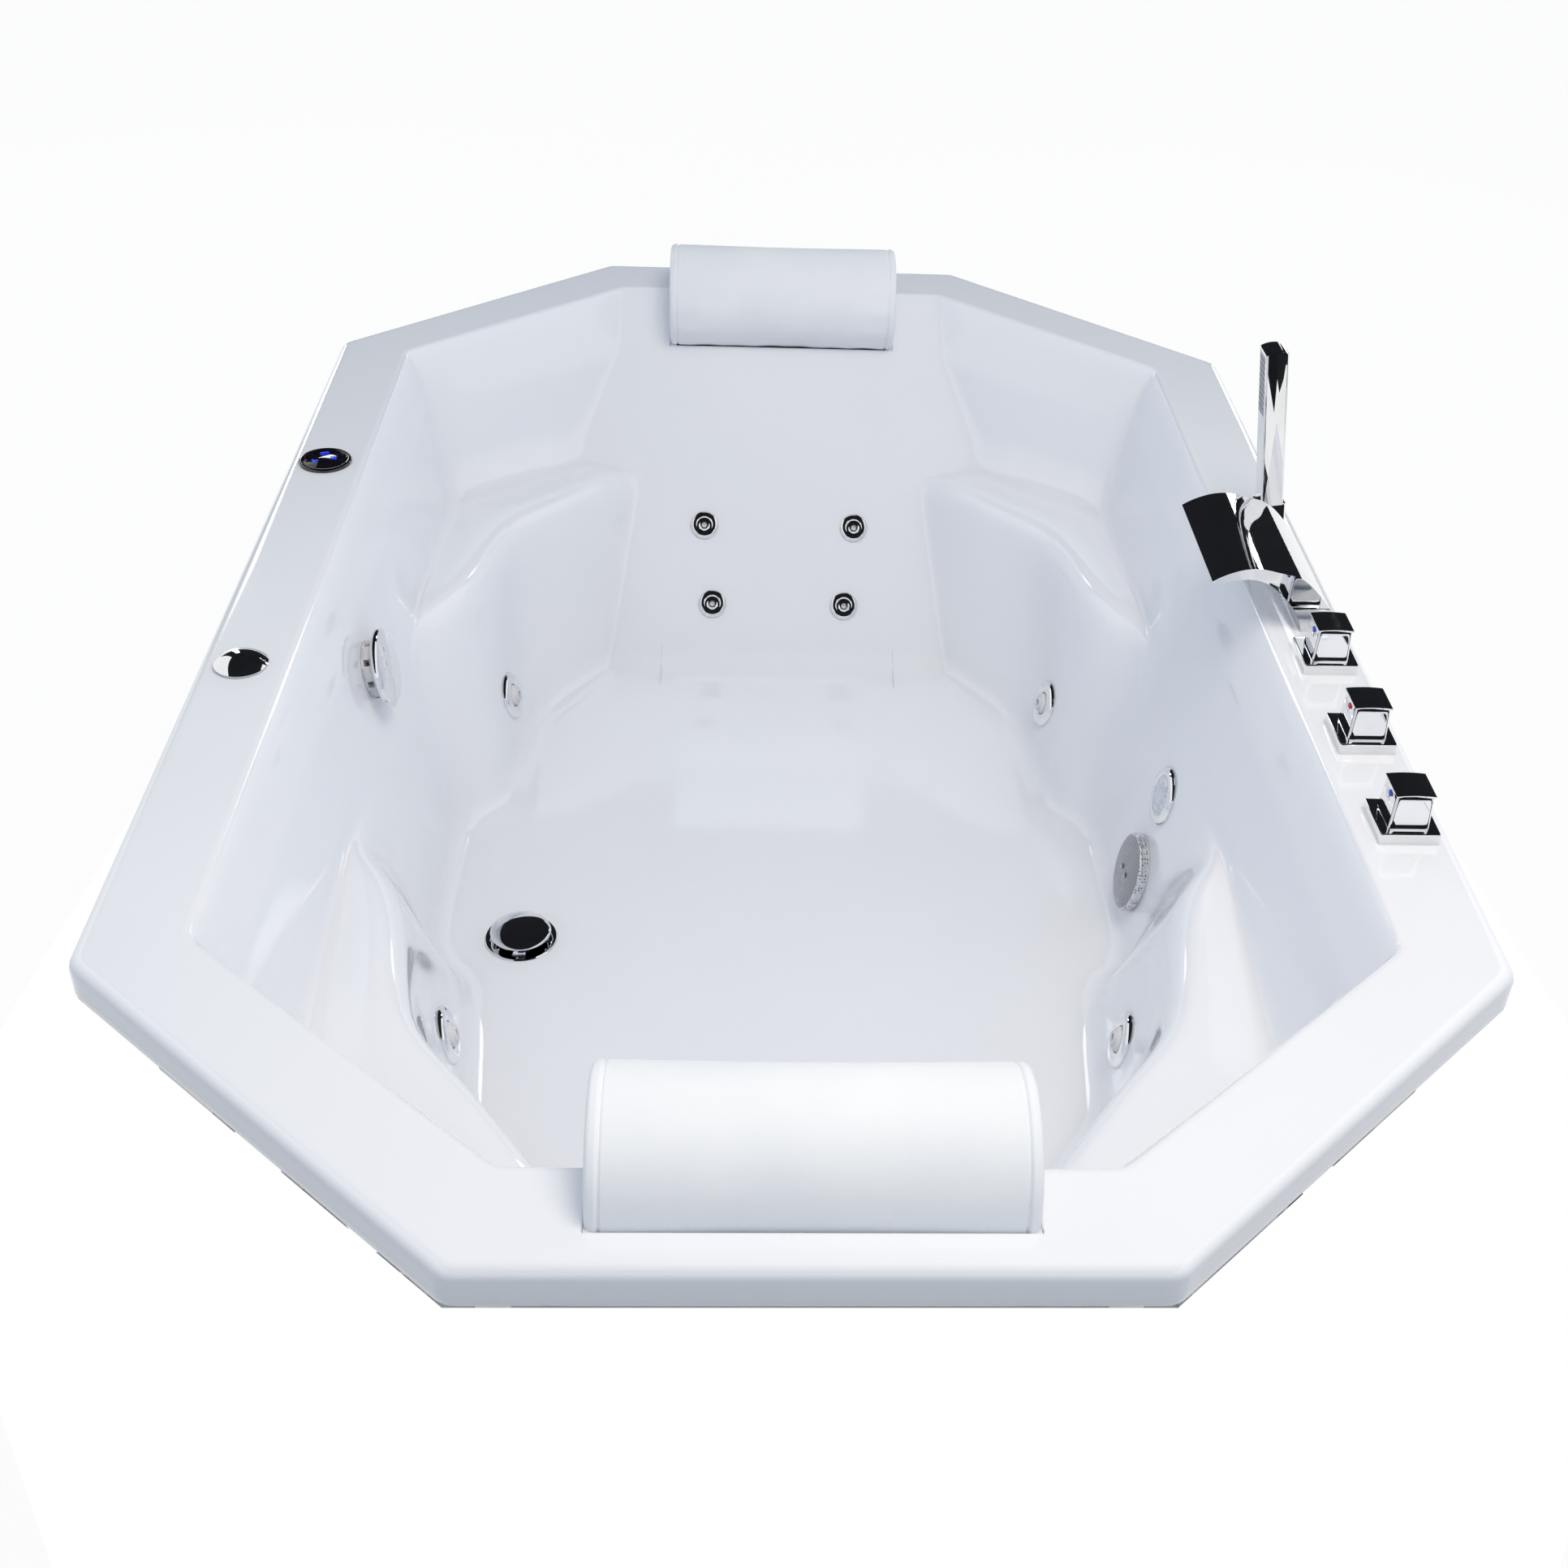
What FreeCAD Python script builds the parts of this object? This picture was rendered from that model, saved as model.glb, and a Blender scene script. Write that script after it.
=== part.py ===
"""Jetted bathtub: an eight-sided drop-in acrylic tub for two, on its own steel frame.

Millimetres, +Z up.  X runs across the tub, Y along it.  The origin is on the floor, under the
centre of the tub.  Taps, spout and hand shower stand on the +X deck, touch panel and air
control on the -X deck.  Both ends are backrests with a head pillow.
"""
import FreeCAD, Part
import math
import os

from FreeCAD import Vector as V

os.makedirs("parts", exist_ok=True)

# ---------------------------------------------------------------- driving dimensions
# rim and deck
TUB_LENGTH = 1900.0
TUB_WIDTH = 1200.0
RIM_HEIGHT = 600.0
END_EDGE = 516.0            # length of the straight outer edge at each end
SIDE_EDGE = 1270.0          # length of the straight outer edge on each side
SIDE_DECK = 94.0            # deck width along the sides
END_DECK = 99.0             # deck width at the ends
INNER_END_EDGE = 460.0
INNER_SIDE_EDGE = 1206.0
LIP_DROP = 38.0
ACRYLIC = 6.0               # wall of the moulded sheet
CORNER_ROUND = 22.0
RIM_ROUND = 11.0

# basin
BASIN_DEPTH = 447.0         # rim to floor
RIDGE_DEPTH = 72.0          # line where the side wall turns steeper
BAND_SLOPE = 0.305          # run per drop above that line
WALL_SLOPE = 0.2            # run per drop below it
BACK_LEAN = 0.745           # run per drop of the backrest
SHELF_DEPTH = 200.0         # armrests below the rim
EDGE_FLARE = 8.0            # soft turn from deck into basin

# pillows
PILLOW_R = 72.0
PILLOW_LENGTH = 324.0
PILLOW_GAP = 0.4
PILLOW_INSET = 108.0        # pillow axis from the outer end edge
PILLOW_SINK = 4.0           # pillow axis below the rim
PILLOW_END_ROUND = 10.0

# deck fittings
FITTING_INSET = 44.0        # their centre line from the outer side edge
HOLE_GAP = 1.0              # round everything that goes through the acrylic
LAND = 8.0                  # acrylic thickness under a wall fitting
FITTING_PITCH = 144.0       # valve, valve, valve, spout, hand shower
PLATE_SIDE = 57.0
PLATE_THICK = 12.0
HANDLE_FOOT = 38.0
HANDLE_TOP = 35.0
HANDLE_HEIGHT = 36.0
HANDLE_CAP = 3.0
DOT_R = 3.0
SPINDLE_R = 9.0
VALVE_R = 14.0
BLOCK = 30.0                # brass block under each deck fitting
BLOCK_DROP = 46.0           # rim to top of the blocks
STUB_R = 10.5               # half-inch pipe thread
STUB_LENGTH = 40.0
TAP_PIPE_R = 11.0
RUN_GAP = 0.4               # between a turning piece and what it turns on
SPOUT_WIDTH = 174.0
SPOUT_WALL = 5.0            # metal left round the channel at each side
SPOUT_OUTER = ((-116, 60), (-98, 70), (-68, 76), (-43, 71), (-26, 67), (0, 47), (19, 24), (32, 0))
SPOUT_UNDER = ((-115, 58), (-93, 61), (-74, 63), (-51, 55), (-40, 46), (-31, 37), (-16, 16), (-11, 0))
HANDSET_X = 26.0
HANDSET_DEPTH = 32.0
HANDSET_TOP = 228.0         # top of the stick above the rim
HANDSET_FOOT = 40.0         # its lower end above the rim
HANDSET_TILT = 8.2
HANDSET_CROWN = 3.0
SPIGOT_R = 8.0
SPIGOT_LENGTH = 24.0
HOLDER_SIDE = 46.0
HOLDER_PLATE = 10.0
SPRAY_LENGTH = 70.0
SPRAY_HOLE_R = 0.9
PANEL_Y = 270.0
PANEL_R = 31.0
PANEL_THICK = 4.0
DIAL_Y = -187.0
DIAL_R = 27.0
DIAL_HEIGHT = 14.0

# wall fittings (places are distances from tub centre and depths below the rim)
JET_Y = 330.0
JET_DEPTH = 372.0
JET_R = 32.0
JET_BODY_R = 22.0
JET_BODY_LENGTH = 42.0
JET_BALL_R = 15.0
BACK_JETS = ((109.0, 276.0), (96.0, 368.0))
BACK_JET_R = 20.0
BACK_JET_BODY_R = 13.0
OVERFLOW_Y = 8.0
OVERFLOW_DEPTH = 128.0
OVERFLOW_R = 45.0
LIGHT_Y = -30.0
LIGHT_DEPTH = 262.0
LIGHT_R = 35.0
SUCTION_Y = -42.0
SUCTION_DEPTH = 368.0
SUCTION_R = 47.5
DRAIN_X = -312.0
DRAIN_Y = -82.0
DRAIN_FLANGE_R = 43.0
DRAIN_CAP_R = 36.0
NUT_THICK = 8.0
SEAT_RING = 3.0             # flat land left round every wall fitting

# frame, feet, pipes and pump
TUBE = 25.0
TUBE_WALL = 2.0
RAIL_X = 225.0              # long rails
SIDE_POST_Y = 530.0
CORNER_POST_X = 490.0
CORNER_POST_Y = 700.0
SHELF_RAIL_Y = 230.0
SHELF_RAIL_X = 545.0        # half length of the cross rails that carry the shelves
POST_INSET = 17.5           # outer face of a post from the edge of the rim
BOARD_X = 235.0
BOARD_Y = 430.0
BOARD_THICK = 16.0
FOOT_R = 25.0
FOOT_ROD_R = 6.0
FOOT_PAD = 10.0
LOCK_NUT = 19.0             # across flats
LOCK_NUT_THICK = 9.0
FOOT_INSET = 42.5           # side feet in from the ends of their rails
END_FOOT_Y = 900.0
SHELF_X = (400.0, 540.0)
SHELF_THICK = 3.0
WATER_X = 462.0
WATER_Y = 720.0
WATER_DIAGONAL = (580.0, 370.0)     # where the run leaves the side, and where it meets the end
WATER_Z = 275.0
WATER_R = 16.0
AIR_X = 528.0
AIR_Y = 745.0
AIR_DIAGONAL = (590.0, 395.0)
AIR_Z = 335.0
AIR_R = 8.0
PIPE_WALL = 2.5
HOSE_WALL = 2.0
ELBOW_BEND = 30.0
SOCKET_DEPTH = 14.0
WATER_HOSE_R = 9.0
AIR_HOSE_R = 5.0
OVERFLOW_PIPE_R = 16.0
SUCTION_PIPE_R = 22.0
WASTE_R = 20.0
PUMP_X = 462.0
PUMP_Z = 180.0
PUMP_FRONT = -395.0         # front of the wet end
PUMP_R = 64.0
VOLUTE_LENGTH = 56.0
VOLUTE_WALL = 5.0
MOTOR_R = 56.0
MOTOR_LENGTH = 184.0
FAN_COVER_LENGTH = 36.0
SHAFT_R = 7.0
SHAFT_GAP = 0.05
IMPELLER_R = 52.0
ROTOR_R = 34.0
BOX_Y = (410.0, 560.0)
BOX_X = (420.0, 520.0)
BOX_HEIGHT = 110.0
BOX_WALL = 3.0

# ---------------------------------------------------------------- worked out from them
HALF_W = TUB_WIDTH / 2
HALF_L = TUB_LENGTH / 2
INNER_X = HALF_W - SIDE_DECK
INNER_Y = HALF_L - END_DECK
CORNER_Y = INNER_SIDE_EDGE / 2
CORNER_X = INNER_END_EDGE / 2
VALVE_Y = (-3 * FITTING_PITCH, -2 * FITTING_PITCH, -FITTING_PITCH)
HANDSET_Y = FITTING_PITCH
DECK_UNDER = RIM_HEIGHT - ACRYLIC
FLOOR_Z = RIM_HEIGHT - BASIN_DEPTH
FLOOR_UNDER = FLOOR_Z - ACRYLIC
FITTING_X = HALF_W - FITTING_INSET
PILLOW_Y = HALF_L - PILLOW_INSET
PILLOW_Z = RIM_HEIGHT - PILLOW_SINK
RAIL_Z = FLOOR_UNDER - BOARD_THICK - TUBE     # underside of the long rails
CROSS_Z = RAIL_Z - TUBE                       # underside of the cross rails
BLOCK_TOP = RIM_HEIGHT - BLOCK_DROP
BLOCK_MID = BLOCK_TOP - BLOCK / 2
Z = V(0, 0, 1)
seats = {}                  # name -> (point, inward normal), printed at the end


# ---------------------------------------------------------------- small tools
def box(x0, x1, y0, y1, z0, z1):
    return Part.makeBox(x1 - x0, y1 - y0, z1 - z0, V(x0, y0, z0))


def rod(radius, start, end):
    axis = end - start
    return Part.makeCylinder(radius, axis.Length, start, axis)


def pipe(outer, inner, start, end):
    return rod(outer, start, end).cut(rod(inner, start, end))


def ring(outer, inner, z0, z1, x=0.0, y=0.0):
    return pipe(outer, inner, V(x, y, z0), V(x, y, z1))


def turned(profile, axis=V(0, 0, 1), base=V(0, 0, 0)):
    """Solid of revolution of a closed outline."""
    return Part.Face(Part.makePolygon(profile + profile[:1])).revolve(base, axis, 360)


def hexagon(across, z0, z1, x=0.0, y=0.0):
    r = across / math.sqrt(3)
    corners = [V(x + r * math.cos(math.radians(60 * k)), y + r * math.sin(math.radians(60 * k)), z0)
               for k in range(7)]
    return Part.Face(Part.makePolygon(corners)).extrude(V(0, 0, z1 - z0))


def group(shapes):
    return Part.makeCompound(shapes)


def placed(shape, seat):
    s = shape.copy()
    s.Placement = seat.multiply(s.Placement)
    return s


def frame_at(point, normal, up):
    """Placement whose local +Z is the normal and whose local +Y leans to `up`."""
    side = up.cross(normal).normalize()
    return FreeCAD.Placement(point, FreeCAD.Rotation(side, normal.cross(side), normal, "ZXY"))


def save(name, shape):
    shape.exportStep("parts/" + name + ".step")
    solids = shape.Solids
    good = shape.isValid() and all(s.isValid() for s in solids)
    print("%-22s %3d solid(s) %12.0f mm3 %s" % (name, len(solids), shape.Volume, "" if good else "INVALID"))


# ---------------------------------------------------------------- basin surface
# The basin is one smooth B-spline surface.  Its control net has a column at each station round
# one quarter of the tub, from the middle of the side (station 0) over the slanted corner wall to
# the middle of the backrest (station 16), mirrored to the other quarters, and a row for each
# level from the deck down to the floor.
SIDE_STATIONS = (0.0, 0.124, 0.249, 0.373, 0.498, 0.647, 0.796)   # shares of the inner side edge
SLANT_STATIONS = (0.38, 0.70)                                     # shares of the slanted edge

# Armrest and leg-room lines: (inset from the inner side edge, inset from the inner end edge,
# depth) at stations 3 to 12, then the X of station 13, where the line meets the backrest.
VALLEY = (((44, 623, -10), (44, 551, -4), (48, 461, 5), (52, 371, 10), (55, 316, 13), (63, 291, 14),
           (81, 276, 14), (121, 248, 13), (171, 208, 12), (201, 171, 10)), 290, (5, 5, 5))
CREST = (((49, 613, -14), (72, 566, -18), (92, 499, -21), (104, 421, -20), (118, 371, -18),
          (136, 339, -16), (156, 316, -14), (194, 271, -10), (231, 219, -5), (254, 183,
                                                                              2)), 238, (10, 12, 18))
RIM = (((59, 623, 5), (94, 579, -2), (117, 511, -1), (133, 419, 1), (149, 367, 2), (168, 336, 3),
        (188, 311, 4), (222, 269, 6), (258, 219, 9), (284, 185, 14)), 204, (18, 22, 32))
UPPER_WALL = (((81, 641, -187), (110, 589, -187), (124, 513, -187), (137, 426, -187), (153, 379, -187),
               (171, 351, -187), (190, 327, -187), (220, 291, -187), (254, 247, -186), (277, 215, -183)),
              214, (-182, -180, -175))
LOWER_WALL = (((113, 655, -89), (132, 599, -89), (139, 519, -89), (147, 446, -89), (160, 411, -89),
               (176, 386, -89), (193, 364, -89), (218, 333, -89), (244, 303, -89), (262, 283, -89)),
              231, (-89, -89, -89))
FOOT = (((128, 681, -35), (148, 619, -35), (153, 533, -35), (162, 466, -35), (175, 433, -35),
         (188, 411, -35), (202, 392, -35), (221, 364, -35), (240, 337, -35), (254, 321, -35)),
        242, (-35, -35, -35))
CORNER = (((138, 693, 0), (158, 631, 0), (163, 543, 0), (172, 477, 0), (185, 447, 0), (197, 427, 0),
           (209, 409, 0), (225, 385, 0), (241, 361, 0), (251, 347, 0)), 248, (0, 0, 0))
MID_SIDE = (                # (row, depth reference) of the plain wall between the armrests
    (5, 5, 0), (22, 22, 15), (40, 40, 35), (-157, -157, -161), (-82, -82, -82), (-35, -35, -35))


def side_x(depth):
    band = min(depth, RIDGE_DEPTH)
    return INNER_X - BAND_SLOPE * band - WALL_SLOPE * (depth - band)


def back_y(depth):
    return INNER_Y - BACK_LEAN * depth


def toward(a, b, length):
    d = (b[0] - a[0], b[1] - a[1])
    n = math.hypot(*d)
    return (a[0] + d[0] / n * length, a[1] + d[1] / n * length)


def between(a, b, share):
    return (a[0] + (b[0] - a[0]) * share, a[1] + (b[1] - a[1]) * share)


def wall_row(depth, corner, end, softness):
    """One row above the armrests: straight side, corner, slanted wall, corner, backrest."""
    x = side_x(depth)
    flat = [(x, CORNER_Y * s) for s in SIDE_STATIONS]
    flat += [(x, corner[1] - softness), corner, toward(corner, end, softness)]
    flat += [between(corner, end, s) for s in SLANT_STATIONS]
    flat += [toward(end, corner, softness), end, (end[0] - softness, end[1])]
    flat += [(end[0] / 2, end[1]), (0.0, end[1])]
    return [V(px, py, RIM_HEIGHT - depth) for px, py in flat]


def flared(row, offset, depth):
    """The same row moved outwards by an offset and set at another depth."""
    out = []
    for i, p in enumerate(row):
        if i == 0:
            along = V(0, 1, 0)
        elif i == len(row) - 1:
            along = V(-1, 0, 0)
        else:
            along = (row[i + 1] - row[i - 1]).normalize()
        out.append(V(p.x + along.y * offset, p.y - along.x * offset, RIM_HEIGHT - depth))
    return out


def armrest_row(line, reference, middle):
    """One row across an armrest; depths count from the shelf or from the floor."""
    stations, back_x, back_depths = line
    row = []
    for share, extra in zip(SIDE_STATIONS[:3], middle):
        depth = reference + extra
        row.append(V(side_x(depth), CORNER_Y * share, RIM_HEIGHT - depth))
    for inset_x, inset_y, extra in stations:
        row.append(V(INNER_X - inset_x, INNER_Y - inset_y, RIM_HEIGHT - reference - extra))
    d13, d14, d16 = (reference + extra for extra in back_depths)
    row.append(V(back_x, back_y(d13), RIM_HEIGHT - d13))
    row.append(V(back_x - 17, back_y(d14), RIM_HEIGHT - d14))
    row.append(V((back_x - 17) / 2, back_y(d16), RIM_HEIGHT - d16))
    row.append(V(0, back_y(d16), RIM_HEIGHT - d16))
    return row


def basin_rows():
    top = wall_row(0, (INNER_X, CORNER_Y), (CORNER_X, INNER_Y), 14)
    rows = [flared(top, EDGE_FLARE, -1.0), flared(top, EDGE_FLARE / 2, -0.2), flared(top, 0.5, 5.0)]
    levels = ((20, 14), (50, 15), (RIDGE_DEPTH - 6, 16), (RIDGE_DEPTH + 6, 18), (95, 20), (135, 28),
              (SHELF_DEPTH - 28, 36))
    for depth, softness in levels:
        low = max(depth - RIDGE_DEPTH, 0) / (SHELF_DEPTH - RIDGE_DEPTH)
        high = min(depth / RIDGE_DEPTH, 1)
        corner = (side_x(depth), CORNER_Y - 5 * high - 25 * low)
        end = (CORNER_X + 6 * high + 64 * low, back_y(depth))
        rows.append(wall_row(depth, corner, end, softness))
    lines = ((VALLEY, SHELF_DEPTH), (CREST, SHELF_DEPTH), (RIM, SHELF_DEPTH), (UPPER_WALL, BASIN_DEPTH),
             (LOWER_WALL, BASIN_DEPTH), (FOOT, BASIN_DEPTH))
    for (line, reference), middle in zip(lines, MID_SIDE):
        rows.append(armrest_row(line, reference, middle))
    corner = armrest_row(CORNER, BASIN_DEPTH, (0, 0, 0))
    for i, share in enumerate(SIDE_STATIONS[:3]):
        corner[i] = V(side_x(BASIN_DEPTH) - (2, 2, 10)[i], CORNER_Y * share * 0.88, FLOOR_Z)
    rows.append(corner)
    rows.append([V(p.x * 0.885, p.y * 0.915, p.z) for p in corner])
    return rows


def round_the_tub(quarter):
    """Mirror the stations of one quarter into a closed ring."""
    back = quarter[-2::-1]
    out = list(quarter)
    out += [V(-p.x, p.y, p.z) for p in back]
    out += [V(-p.x, -p.y, p.z) for p in quarter[1:]]
    out += [V(p.x, -p.y, p.z) for p in back[:-1]]
    return out


def basin_surface():
    net = [round_the_tub(row) for row in basin_rows()]
    around, down = len(net[0]), len(net)
    poles = [[net[j][i] for j in range(down)] for i in range(around)]
    surface = Part.BSplineSurface()
    surface.buildFromPolesMultsKnots(
        poles, [1] * (around + 1), [4] + [1] * (down - 4) + [4],
        [float(k) for k in range(around + 1)], [float(k) for k in range(down - 2)],
        True, False, 3, 3)
    return surface, around, down - 3


SURFACE, AROUND, SPANS = basin_surface()


def skin(offset, levels, top, floor):
    """Points of the surface moved outwards by an offset, flat at both ends."""
    rows = []
    for v in levels:
        rows.append([SURFACE.value(u, v) - SURFACE.normal(u, v) * offset for u in range(AROUND)])
    rows[0] = [V(p.x, p.y, top) for p in rows[0]]
    rows[-1] = [V(p.x, p.y, floor) for p in rows[-1]]
    return rows


def faceted(rows):
    """Closed solid of triangles through rows of points, with flat caps."""
    count = len(rows[0])
    quarter = count // 4
    faces = []
    for a, b in zip(rows, rows[1:]):
        for i in range(count):
            k = (i + 1) % count
            corners = [a[i], a[k], b[k], b[i]]
            split = ((0, 1, 2), (0, 2, 3)) if (i // quarter) % 2 == 0 else ((0, 1, 3), (1, 2, 3))
            for t in split:
                faces.append(Part.Face(Part.makePolygon([corners[n] for n in t] + [corners[t[0]]])))
    for cap in (rows[0], rows[-1]):
        faces.append(Part.Face(Part.makePolygon(cap + cap[:1])))
    shell = Part.makeShell(faces)
    shell.sewShape()
    solid = Part.makeSolid(shell)
    if solid.Volume < 0:
        solid.reverse()
    return solid


def wall_seat(name, x, y, depth):
    """Nearest point of the basin wall, with the normal that points into the tub."""
    u, v = SURFACE.parameter(V(x, y, RIM_HEIGHT - depth))
    point = SURFACE.value(u, v)
    normal = SURFACE.normal(u, v)
    seats[name] = (point, normal)
    return frame_at(point, normal, Z)


def deck_seat(name, x, y):
    point = V(x, y, RIM_HEIGHT)
    seats[name] = (point, V(0, 0, 1))
    return FreeCAD.Placement(point, FreeCAD.Rotation())


# ---------------------------------------------------------------- where the fittings sit
ENDS = (("near", -1), ("far", 1))
SIDES = (("left", -1), ("right", 1))
side_jet_seats = {}
for end_name, end_sign in ENDS:
    for side_name, side_sign in SIDES:
        name = end_name + "_" + side_name
        side_jet_seats[name] = wall_seat("jet_" + name, side_sign * (INNER_X - 139), end_sign * JET_Y,
                                         JET_DEPTH)
back_jet_seats = []
for end_name, end_sign in ENDS:
    for number, (jet_x, jet_depth) in enumerate(BACK_JETS):
        for side_name, side_sign in SIDES:
            name = "back_jet_%s_%s_%d" % (end_name, side_name, number + 1)
            back_jet_seats.append(wall_seat(name, side_sign * jet_x, end_sign * back_y(jet_depth), jet_depth))
overflow_seat = wall_seat("overflow", -side_x(OVERFLOW_DEPTH), OVERFLOW_Y, OVERFLOW_DEPTH)
light_seat = wall_seat("light", side_x(LIGHT_DEPTH), LIGHT_Y, LIGHT_DEPTH)
suction_seat = wall_seat("suction", side_x(SUCTION_DEPTH), SUCTION_Y, SUCTION_DEPTH)
drain_seat = FreeCAD.Placement(V(DRAIN_X, DRAIN_Y, FLOOR_Z), FreeCAD.Rotation())
valve_seats = [deck_seat("valve_%d" % (k + 1), FITTING_X, y) for k, y in enumerate(VALVE_Y)]
spout_seat = deck_seat("spout", FITTING_X, 0.0)
handset_seat = deck_seat("hand_shower", FITTING_X, HANDSET_Y)
panel_seat = deck_seat("panel", -FITTING_X, PANEL_Y)
dial_seat = deck_seat("dial", -FITTING_X, DIAL_Y)

# (seat, land radius, hole radius) of everything that goes through the basin wall
WALL_HOLES = [(s, JET_R, JET_BODY_R) for s in side_jet_seats.values()]
WALL_HOLES += [(s, BACK_JET_R, BACK_JET_BODY_R) for s in back_jet_seats]
OVERFLOW_BODY_R = 20.0
LIGHT_BODY_R = 25.0
SUCTION_BODY_R = 28.0
DRAIN_BODY_R = 21.0
WALL_HOLES += [(overflow_seat, OVERFLOW_R - 12, OVERFLOW_BODY_R), (light_seat, LIGHT_R, LIGHT_BODY_R),
               (suction_seat, SUCTION_R, SUCTION_BODY_R)]
PANEL_BODY_R = 27.0
DIAL_BODY_R = 17.0
GUIDE_R = 15.0
SHANK_R = 10.0
# (seat, hole radius) of everything that goes through the deck
DECK_HOLES = [(s, VALVE_R) for s in valve_seats]
DECK_HOLES += [(panel_seat, PANEL_BODY_R), (dial_seat, DIAL_BODY_R), (handset_seat, GUIDE_R),
               (spout_seat, SHANK_R)]


# ---------------------------------------------------------------- tub shell
def octagon(inset, z0, z1, corner_round):
    """Prism of the outer outline, moved inwards."""
    a, b = END_EDGE / 2, SIDE_EDGE / 2
    quarter = [(HALF_W, b), (a, HALF_L)]
    points = quarter + [(-x, y) for x, y in quarter[::-1]] + [(-x, -y) for x, y in quarter]
    points += [(x, -y) for x, y in quarter[::-1]]
    wire = Part.makePolygon([V(x, y, z0) for x, y in points + points[:1]])
    if inset:
        wire = wire.makeOffset2D(-inset)
    prism = Part.Face(wire).extrude(V(0, 0, z1 - z0))
    upright = [e for e in prism.Edges if e.BoundBox.ZLength > 1]
    return prism.makeFillet(corner_round, upright)


def bolster(y, grow):
    """Round pillow lying along X with rounded end edges, or the same shape grown all round."""
    half = PILLOW_LENGTH / 2 + grow
    shape = rod(PILLOW_R + grow, V(-half, y, PILLOW_Z), V(half, y, PILLOW_Z))
    round_edges = [e for e in shape.Edges if e.BoundBox.XLength < 1]
    return shape.makeFillet(PILLOW_END_ROUND + grow, round_edges)


def tub_shell():
    fine = [0.0, 0.5, 1.0, 1.5, 2.0, 3.0, 4.0, 5.0, 6.0, 7.0, 7.5, 8.0, 8.5, 9.0, 9.5, 10.0, 10.5, 11.0, 12.0,
            13.0, 13.5, 14.0, 14.5, float(SPANS)]
    inner = faceted(skin(0.0, fine, RIM_HEIGHT + 1.0, FLOOR_Z))
    rows = skin(ACRYLIC, [0.0] + fine[3:], RIM_HEIGHT - ACRYLIC / 2, FLOOR_UNDER)
    outer = faceted(rows)
    deck = octagon(0, RIM_HEIGHT - LIP_DROP, RIM_HEIGHT, CORNER_ROUND)
    top_edges = [e for e in deck.Edges if e.BoundBox.ZMin > RIM_HEIGHT - 0.01]
    deck = deck.makeFillet(RIM_ROUND, top_edges)
    deck = deck.cut(octagon(ACRYLIC, RIM_HEIGHT - LIP_DROP - 1, DECK_UNDER, CORNER_ROUND - ACRYLIC))
    below_deck = box(-HALF_W, HALF_W, -HALF_L, HALF_L, 0, RIM_HEIGHT - ACRYLIC / 2)
    for sign in (-1, 1):
        outer = outer.fuse(bolster(sign * PILLOW_Y, PILLOW_GAP + ACRYLIC).common(below_deck))
        inner = inner.fuse(bolster(sign * PILLOW_Y, PILLOW_GAP))
    shell = deck.fuse(outer).cut(inner)
    lands = [placed(Part.makeCylinder(land + SEAT_RING, LAND, V(0, 0, -LAND)), seat) for seat, land,
             _ in WALL_HOLES]
    shell = shell.fuse(lands)
    cuts = [placed(Part.makeCylinder(land + SEAT_RING, ACRYLIC), seat) for seat, land, _ in WALL_HOLES]
    holes = [(seat, hole) for seat, _, hole in WALL_HOLES] + DECK_HOLES + [(drain_seat, DRAIN_BODY_R)]
    cuts += [placed(Part.makeCylinder(hole + HOLE_GAP, 50, V(0, 0, -40)), seat) for seat, hole in holes]
    shell = shell.cut(cuts)
    return max(shell.Solids, key=lambda s: s.Volume)


# ---------------------------------------------------------------- pipes and hoses
def hose(points, start, end, outer, inner):
    """Bent round pipe through points, with its end directions."""
    if len(points) == 2:
        pull = (points[1] - points[0]).Length * 0.4
        spine = Part.BezierCurve()
        spine.setPoles([points[0], points[0] + start * pull, points[1] - end * pull, points[1]])
    else:
        spine = Part.BSplineCurve()
        spine.interpolate(Points=points, InitialTangent=start, FinalTangent=end)
    wire = Part.Wire([spine.toShape()])
    walls = []
    for radius in (outer, inner):
        circle = Part.Wire([Part.makeCircle(radius, points[0], start)])
        walls.append(wire.makePipeShell([circle], True, False))
    return walls[0].cut(walls[1])


def loop_run(corners, outer, wall):
    """Straight pipes round a closed run of corners, and a socketed elbow at each."""
    pipes, elbows = [], []
    count = len(corners)
    ends = []
    for i, c in enumerate(corners):
        a = (c - corners[i - 1]).normalize()
        b = (corners[(i + 1) % count] - c).normalize()
        turn = math.acos(max(-1.0, min(1.0, a.dot(b))))
        reach = ELBOW_BEND * math.tan(turn / 2)
        up = a.cross(b).normalize()
        start, stop = c - a * reach, c + b * reach
        centre = start + up.cross(a) * ELBOW_BEND
        cores = []
        for radius in (outer + 4.0, outer - wall):
            face = Part.Face(Part.Wire([Part.makeCircle(radius, start, a)]))
            cores.append(face.revolve(centre, up, math.degrees(turn)))
        elbow = cores[0].fuse([rod(outer + 4.0, start - a * SOCKET_DEPTH, start),
                               rod(outer + 4.0, stop, stop + b * SOCKET_DEPTH)])
        elbow = elbow.cut([cores[1], rod(outer + RUN_GAP / 8, start - a * (SOCKET_DEPTH + 1), start),
                           rod(outer + RUN_GAP / 8, stop, stop + b * (SOCKET_DEPTH + 1))])
        elbows.append(elbow)
        ends.append((start, stop))
    for i in range(count):
        pipes.append(pipe(outer, outer - wall, ends[i][1], ends[(i + 1) % count][0]))
    return pipes, elbows


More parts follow.
